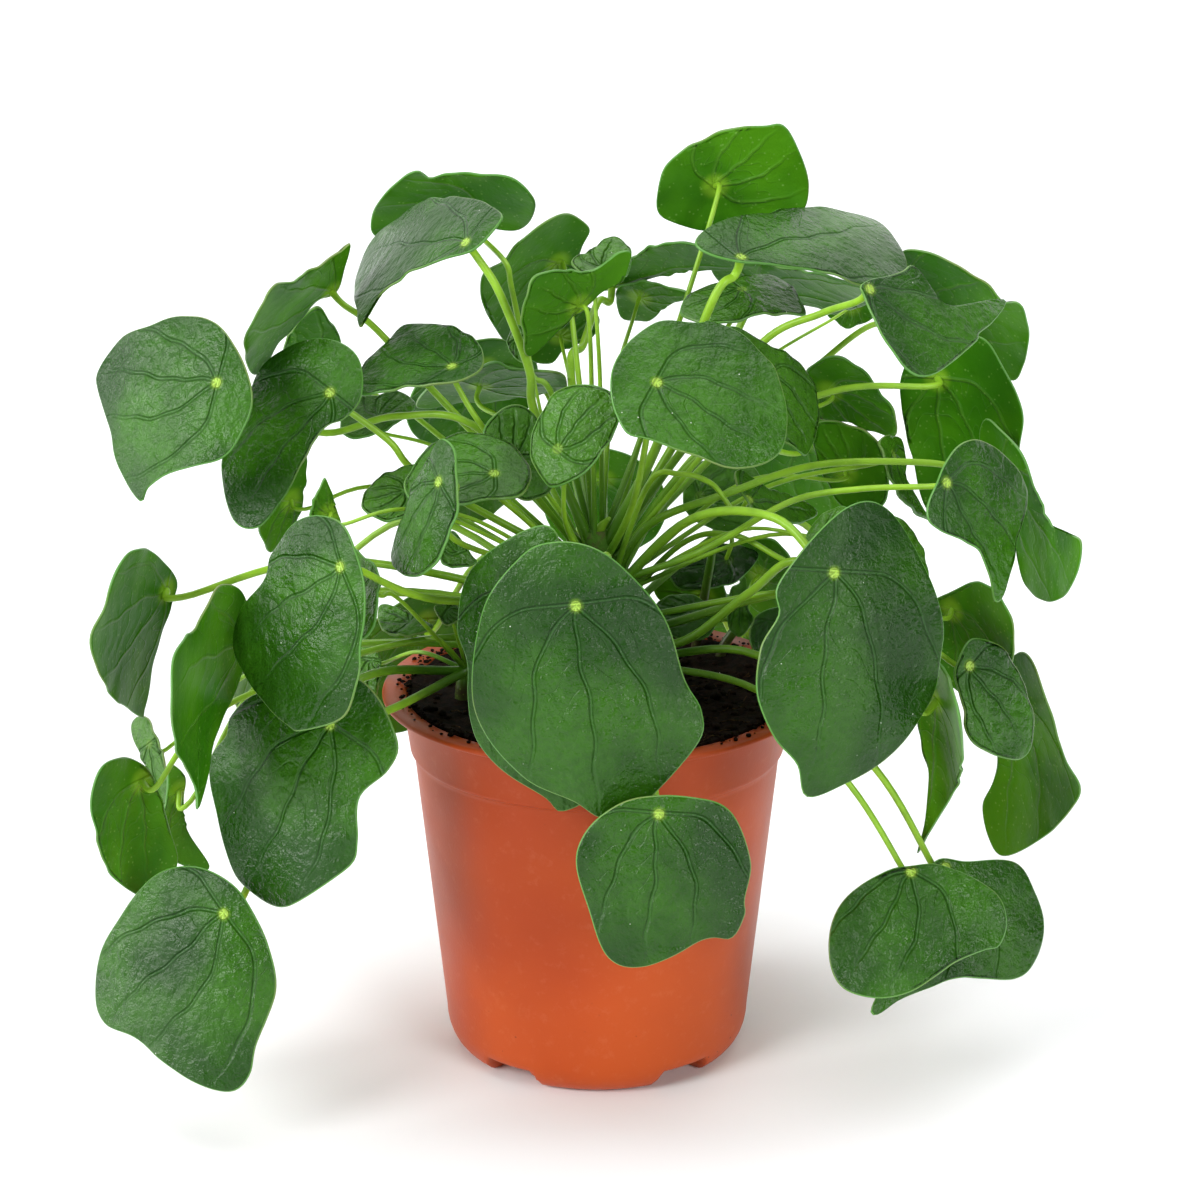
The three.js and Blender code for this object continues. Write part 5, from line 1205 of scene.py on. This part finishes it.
class PILEA_OT_soil(bpy.types.Operator):
    """Soil: a crumbly top with loose crumbs, root fibres and white grains"""

    bl_idname = "pilea.soil"
    bl_label = "Soil"

    SEED = 11
    # Width, noise layer and height of the heaps and of the clods on them
    HEAPS = ((9, 0, 1.1), (2.6, 5, 0.8))
    # Between these radii the soil rises by a millimetre
    RISE = (46, 52)
    BED_RINGS = 52
    BED_SIDES = 150
    # Clearance between the soil and the wall and floor of the pot
    WALL_GAP = 0.4
    FLOOR_GAP = 0.1
    # What lies on the soil stays inside this radius and this far from a stem's middle
    LITTER_RADIUS = 50.5
    STEM_ROOM = 7.5
    # The spilled crumbs lie between these radii. The power brings them nearer to the soil.
    SPILL = (52.3, 57.2)
    SPILL_POWER = 2.4
    # Least and most radius of what is strewn
    CRUMB_SIZES = (0.5, 1.9)
    SPILL_SIZES = (0.25, 0.85)
    GRAIN_SIZES = (0.35, 0.8)
    # A lump from its top down: shares of its radius and of its height
    LUMP = ((0.0, 1.0), (0.75, 0.6), (1.0, 0.0), (0.7, -0.6), (0.0, -0.9))
    LUMP_SIDES = 7
    # In shares of a lump's size: least reach and what chance adds, height, and lift
    LUMP_REACH = (0.75, 0.5)
    LUMP_HEIGHT = 0.7
    LUMP_LIFT = 0.15
    # Fibres: least and what chance adds for length and radius, bend in radians, height of
    # their ends over the soil and rise of their middle
    FIBRE_LENGTH = (3, 6)
    FIBRE_RADIUS = (0.14, 0.1)
    FIBRE_BEND = 1.6
    FIBRE_LIFT = 0.25
    FIBRE_ARCH = 0.3
    FIBRE_POINTS = 6
    FIBRE_SIDES = 5
    # A drift from point to point that keeps any two of a fibre apart
    FIBRE_DRIFT = 1e-3

    def execute(self, context):
        settings = context.scene.pilea_soil
        peat = soil_material(settings, "soil_peat", settings.soil_light)
        fibre = soil_material(settings, "soil_fibre", settings.fibre_color)
        grain = plain_material("soil_grain", settings.speck_color, 0.7)
        rng = np.random.default_rng(self.SEED)
        self.add("soil_bed", self.bed(), peat)
        self.add("soil_crumbs", self.lumps(rng, settings.crumbs, *self.CRUMB_SIZES), peat)
        self.add("soil_fibres", self.fibres(rng, settings.fibres), fibre)
        spill = self.lumps(rng, settings.spill, *self.SPILL_SIZES, on_lip=True)
        self.add("soil_spill", spill, peat)
        self.add("soil_grains", self.lumps(rng, settings.specks, *self.GRAIN_SIZES), grain)
        return {"FINISHED"}

    def add(self, name, shape, material):
        place_piece(make_object(name, *shape, [material]), "soil", "soil")

    def top_at(self, x, y):
        """Height of the soil's top: it dips and heaps a little and rises to the lip."""
        heap = sum(noise.noise(Vector((x / width, y / width, layer))) * height
                   for width, layer, height in self.HEAPS)
        return SOIL_TOP + heap + smoothstep(*self.RISE, np.hypot(x, y))

    def bed(self):
        """The soil's top, its side down the pot's wall and its underside."""
        sides = self.BED_SIDES
        angle = turns(sides)
        # A row without a height lies on the soil's top
        rows = [(radius, None)
                for radius in np.linspace(0.8, BAND_FOOT_RADIUS - WALL + 1.6, self.BED_RINGS)]
        foot = BODY_FOOT_RADIUS - WALL - self.WALL_GAP
        rows += [(BAND_FOOT_RADIUS - STEP_WIDTH - WALL - self.WALL_GAP, STEP_HEIGHT),
                 (foot, FLOOR_TOP + 6.5), (foot - 6, FLOOR_TOP + self.FLOOR_GAP)]
        vertices = [(0, 0, self.top_at(0, 0))]
        for radius, height in rows:
            for x, y in zip(radius * np.cos(angle), radius * np.sin(angle)):
                vertices.append((x, y, self.top_at(x, y) if height is None else height))
        vertices.append((0, 0, FLOOR_TOP + self.FLOOR_GAP))
        rings = [(0, 1), *ring_row(1, len(rows), sides), (len(vertices) - 1, 1)]
        return vertices, skin_faces(rings, sides, turned=True)

    def between(self, limits, rng):
        """The first limit and a chance share of the second."""
        return limits[0] + limits[1] * rng.random()

    def lip_spot(self, rng):
        """A place on the lip, more often near the soil."""
        radius = self.SPILL[0] + (self.SPILL[1] - self.SPILL[0]) * rng.random() ** self.SPILL_POWER
        turn = 2 * np.pi * rng.random()
        return radius * np.cos(turn), radius * np.sin(turn)

    def spot(self, rng):
        """A place on the soil, clear of the stems."""
        feet = [shoot["foot"] for shoot in SHOOTS.values()]
        while True:
            radius = self.LITTER_RADIUS * np.sqrt(rng.random())
            turn = 2 * np.pi * rng.random()
            x, y = radius * np.cos(turn), radius * np.sin(turn)
            if min(np.hypot(x - foot[0], y - foot[1]) for foot in feet) > self.STEM_ROOM:
                return x, y

    def lumps(self, rng, count, least, most, on_lip=False):
        """Small uneven lumps lying in the soil's top or on the lip."""
        parts = []
        for _ in range(count):
            x, y = self.lip_spot(rng) if on_lip else self.spot(rng)
            ground = POT_HEIGHT if on_lip else self.top_at(x, y)
            size = least + (most - least) * rng.random() ** 2
            vertices, rings = [], []
            for share, level in self.LUMP:
                around = self.LUMP_SIDES if share else 1
                rings.append((len(vertices), around))
                for step in range(around):
                    turn = 2 * np.pi * step / self.LUMP_SIDES
                    reach = size * self.between(self.LUMP_REACH, rng) * share
                    height = self.LUMP_LIFT * size + size * self.LUMP_HEIGHT * level
                    vertices.append((x + reach * np.cos(turn), y + reach * np.sin(turn),
                                     ground + height))
            faces = skin_faces(rings, self.LUMP_SIDES, turned=True)
            parts.append((np.array(vertices), faces))
        return join_parts(parts)

    def fibres(self, rng, count):
        """Thin bent fibres that lie on the soil."""
        points = self.FIBRE_POINTS
        parts = []
        for _ in range(count):
            x, y = self.spot(rng)
            turn = 2 * np.pi * rng.random()
            length = self.between(self.FIBRE_LENGTH, rng)
            bend = (rng.random() - 0.5) * self.FIBRE_BEND
            line = []
            for share in np.linspace(-0.5, 0.5, points):
                heading = turn + bend * share
                px = x + length * share * np.cos(heading)
                py = y + length * share * np.sin(heading)
                reach = np.hypot(px, py)
                if reach > self.LITTER_RADIUS:
                    px, py = px * self.LITTER_RADIUS / reach, py * self.LITTER_RADIUS / reach
                arch = self.FIBRE_ARCH * (0.5 - abs(share))
                line.append((px, py, self.top_at(px, py) + self.FIBRE_LIFT + arch))
            line = np.array(line) + np.arange(points)[:, None] * self.FIBRE_DRIFT
            radius = self.between(self.FIBRE_RADIUS, rng)
            parts.append(tube(line, [radius] * points, self.FIBRE_SIDES))
        return join_parts(parts)


class PILEA_OT_leaves(bpy.types.Operator):
    """Large leaves: a blade with a rounded rim for each leaf node"""

    bl_idname = "pilea.leaves"
    bl_label = "Large leaves"

    # Tone: start, length of blade that takes off 1, most, and change from blade to blade
    TONE = 0.9
    TONE_LENGTH = 38
    TONE_MOST = 0.8
    TONE_CHANGE = 0.06
    TONE_TURN = 5

    def execute(self, context):
        settings = context.scene.pilea_leaf
        materials = leaf_materials(settings)
        steps = settings.segments, settings.rings
        for index, blade in enumerate(large_blades()):
            tone = np.clip(self.TONE - blade_span(blade) / self.TONE_LENGTH, 0, self.TONE_MOST)
            tone += self.TONE_CHANGE * np.sin(self.TONE_TURN * index)
            number = f"{index + 1:02d}"
            add_blade(f"blade_{number}", f"leaf_{number}", blade, steps, tone, settings, materials)
        return {"FINISHED"}


class PILEA_OT_young_leaves(bpy.types.Operator):
    """Young leaves: small blades that the part joins to its stems"""

    bl_idname = "pilea.young_leaves"
    bl_label = "Young leaves"

    TONE = 0.35
    TONE_CHANGE = 0.3
    TONE_TURN = 3

    def execute(self, context):
        settings = context.scene.pilea_leaf
        materials = leaf_materials(settings)
        for index, blade in enumerate(young_blades()):
            tone = self.TONE + self.TONE_CHANGE * np.sin(self.TONE_TURN * index) ** 2
            add_blade(f"young_blade_{index + 1:02d}", "stems", blade, YOUNG_STEPS, tone,
                      settings, materials)
        return {"FINISHED"}


class PILEA_OT_stalks(bpy.types.Operator):
    """Leaf stalks and the trunk with its young shoots"""

    bl_idname = "pilea.stalks"
    bl_label = "Stalks and trunk"

    # The folded young leaves at the top of the trunk
    SPROUT = [(0, 6, 147), (1, 4.5, 151), (3.5, 3, 154.5)]
    SPROUT_RADII = (2.4, 0.5)
    SPROUT_STEPS = 5
    SPROUT_SIDES = 10
    # Colour of a shoot at the soil and at its head, on a stalk's scale of 0 to 1. Below 0 the
    #     # foot turns bark brown: painted shade where the shoot goes into the soil.
    SHOOT_COLOR_AND_SHADE = (-1, 0.4)
    # Stalks flare a little where they leave the trunk and on their last stretch to the blade
    FOOT_FLARE = 0.12
    FOOT_FLARE_POWER = 8
    NECK_FLARE = 0.15
    NECK_STRETCH = (0.95, 1)

    def execute(self, context):
        settings = context.scene.pilea_leaf
        parts, along = [], []
        for blade in large_blades() + young_blades():
            line = stalk_line(blade)
            run = run_along(line)
            share = run / run[-1]
            radius = min(STALK_THICKEST, STALK_THINNEST + blade_span(blade) / STALK_GROWTH)
            flare = (self.FOOT_FLARE * (1 - share) ** self.FOOT_FLARE_POWER
                     + self.NECK_FLARE * smoothstep(*self.NECK_STRETCH, share))
            parts.append(tube(line, radius * (1 - STALK_TAPER * share + flare), STALK_SIDES))
            along += np.repeat(share, STALK_SIDES).tolist()
        for name in ("left", "right", "small"):
            parts.append(self.shoot(SHOOTS[name]))
            height = parts[-1][0][:, 2]
            ends = SOIL_TOP, SHOOTS[name]["head"][2]
            along += np.interp(height, ends, self.SHOOT_COLOR_AND_SHADE).tolist()
        line = smooth_line(self.SPROUT, self.SPROUT_STEPS)
        radii = np.linspace(*self.SPROUT_RADII, len(line))
        parts.append(tube(line, radii, self.SPROUT_SIDES))
        along += [1.0] * len(parts[-1][0])
        stalks = make_object("leaf_stalks", *join_parts(parts), [stalk_material(settings)],
                             attributes={"along": along})
        place_piece(stalks, "stem", "stems")
        trunk = make_object("trunk", *self.shoot(SHOOTS["trunk"]), [trunk_material(settings)])
        place_piece(trunk, "stem", "stems")
        return {"FINISHED"}

    def shoot(self, shoot):
        """A stem with a ring of thickening at each old leaf joint."""
        foot, head = shoot["foot"], shoot["head"]
        low = SOIL_TOP - SHOOT_DEPTH
        line = smooth_line([(*foot, low), (*foot, SOIL_TOP + 1), head], SHOOT_STEPS)
        share = (line[:, 2] - low) / (head[2] - low)
        radius = shoot["foot_radius"] + (shoot["head_radius"] - shoot["foot_radius"]) * share
        scars = SCAR * radius * np.sin(line[:, 2] * SCAR_TURN) ** SCAR_POWER
        return tube(line, radius + scars, SHOOT_SIDES)


class PILEA_OT_stage(bpy.types.Operator):
    """Plain pale floor, soft light and the photograph's camera"""

    bl_idname = "pilea.stage"
    bl_label = "Stage"

    FLOOR_REACH = 20000
    # The way to the brightest part of the room, and how close to it the room starts to
    # brighten and is brightest, as cosines
    BRIGHTEST = (-0.2, 0.94, 0.28)
    BRIGHTENS = (0, 0.9)
    # Lamps: name, which is also their setting, the way to them and their width in degrees
    LAMPS = (("key", (-0.63, -0.57, 0.53), 24), ("side", (-0.96, -0.13, 0.26), 24),
             ("fill", (0.57, -0.73, 0.4), 26), ("top", (0.1, 0.1, 1.0), 60))

    def execute(self, context):
        settings = context.scene.pilea_stage
        reach = self.FLOOR_REACH
        corners = [(-reach, -reach, 0), (reach, -reach, 0), (reach, reach, 0), (-reach, reach, 0)]
        material = plain_material("floor", settings.floor_color, 0.9)
        floor = make_object("floor", corners, [(0, 1, 2, 3)], [material])
        self.world(settings)
        for name, way, width in self.LAMPS:
            self.light(name, way, width, getattr(settings, name))
        self.camera(context)
        context.scene.view_settings.view_transform = "Standard"
        return {"FINISHED"}

    def world(self, settings):
        """A room that is bright above and behind and darker where the camera stands."""
        world = bpy.data.worlds.new("studio")
        world.use_nodes = True
        tree = world.node_tree
        background = tree.nodes["Background"]
        where = tree.nodes.new("ShaderNodeTexCoord")
        toward = tree.nodes.new("ShaderNodeVectorMath")
        toward.operation = "DOT_PRODUCT"
        toward.inputs[1].default_value = self.BRIGHTEST
        ramp = tree.nodes.new("ShaderNodeMapRange")
        ramp.interpolation_type = "SMOOTHSTEP"
        limits = (*self.BRIGHTENS, settings.front, settings.room)
        for socket, value in zip(list(ramp.inputs)[1:5], limits):
            socket.default_value = value
        tree.links.new(where.outputs["Generated"], toward.inputs[0])
        tree.links.new(toward.outputs["Value"], ramp.inputs[0])
        tree.links.new(ramp.outputs[0], background.inputs[1])
        background.inputs[0].default_value = (1, 1, 1, 1)
        bpy.context.scene.world = world

    def light(self, name, way, width, strength):
        """A large soft light, far off in that direction."""
        lamp = bpy.data.lights.new(name, "SUN")
        lamp.angle = np.radians(width)
        lamp.energy = strength
        holder = bpy.data.objects.new(name, lamp)
        bpy.context.scene.collection.objects.link(holder)
        holder.rotation_euler = (-Vector(way)).to_track_quat("-Z", "Y").to_euler()

    def camera(self, context):
        """The camera stands at the photograph's viewpoint."""
        data = bpy.data.cameras.new("camera")
        data.sensor_width = SENSOR_MM
        data.lens = FOCAL_PIXELS / FRAME_PIXELS * SENSOR_MM
        data.clip_start, data.clip_end = CAMERA_CLIP
        camera = bpy.data.objects.new("camera", data)
        context.scene.collection.objects.link(camera)
        camera.location = Vector(EYE * MM)
        camera.rotation_euler = (np.pi / 2 - VIEW_TILT, 0, 0)
        context.scene.camera = camera


class PILEA_PT_sidebar(bpy.types.Panel):
    """Buttons and settings of the plant"""

    bl_label = "Pilea"
    bl_idname = "PILEA_PT_sidebar"
    bl_space_type = "VIEW_3D"
    bl_region_type = "UI"
    bl_category = "Pilea"

    def draw(self, context):
        for name, (_, operators) in GROUPS.items():
            settings = getattr(context.scene, name)
            box = self.layout.box()
            for operator in operators:
                box.operator(operator.bl_idname)
            for setting in settings.__annotations__:
                box.prop(settings, setting)


# Settings and the operators that use them
GROUPS = {
    "pilea_pot": (PileaPotSettings, (PILEA_OT_pot,)),
    "pilea_soil": (PileaSoilSettings, (PILEA_OT_soil,)),
    "pilea_leaf": (PileaLeafSettings, (PILEA_OT_leaves, PILEA_OT_young_leaves, PILEA_OT_stalks)),
    "pilea_stage": (PileaStageSettings, (PILEA_OT_stage,)),
}


def register():
    for name, (settings, operators) in GROUPS.items():
        bpy.utils.register_class(settings)
        setattr(bpy.types.Scene, name, PointerProperty(type=settings))
        for operator in operators:
            bpy.utils.register_class(operator)
    bpy.utils.register_class(PILEA_PT_sidebar)


def unregister():
    bpy.utils.unregister_class(PILEA_PT_sidebar)
    for name, (settings, operators) in GROUPS.items():
        for operator in operators:
            bpy.utils.unregister_class(operator)
        delattr(bpy.types.Scene, name)
        bpy.utils.unregister_class(settings)


def write_size():
    """Brings the view layer up to date."""
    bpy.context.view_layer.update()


def main():
    register()
    bpy.ops.pilea.pot()
    bpy.ops.pilea.soil()
    bpy.ops.pilea.leaves()
    bpy.ops.pilea.young_leaves()
    bpy.ops.pilea.stalks()
    bpy.ops.pilea.stage()
    write_size()


if __name__ == "__main__":
    main()
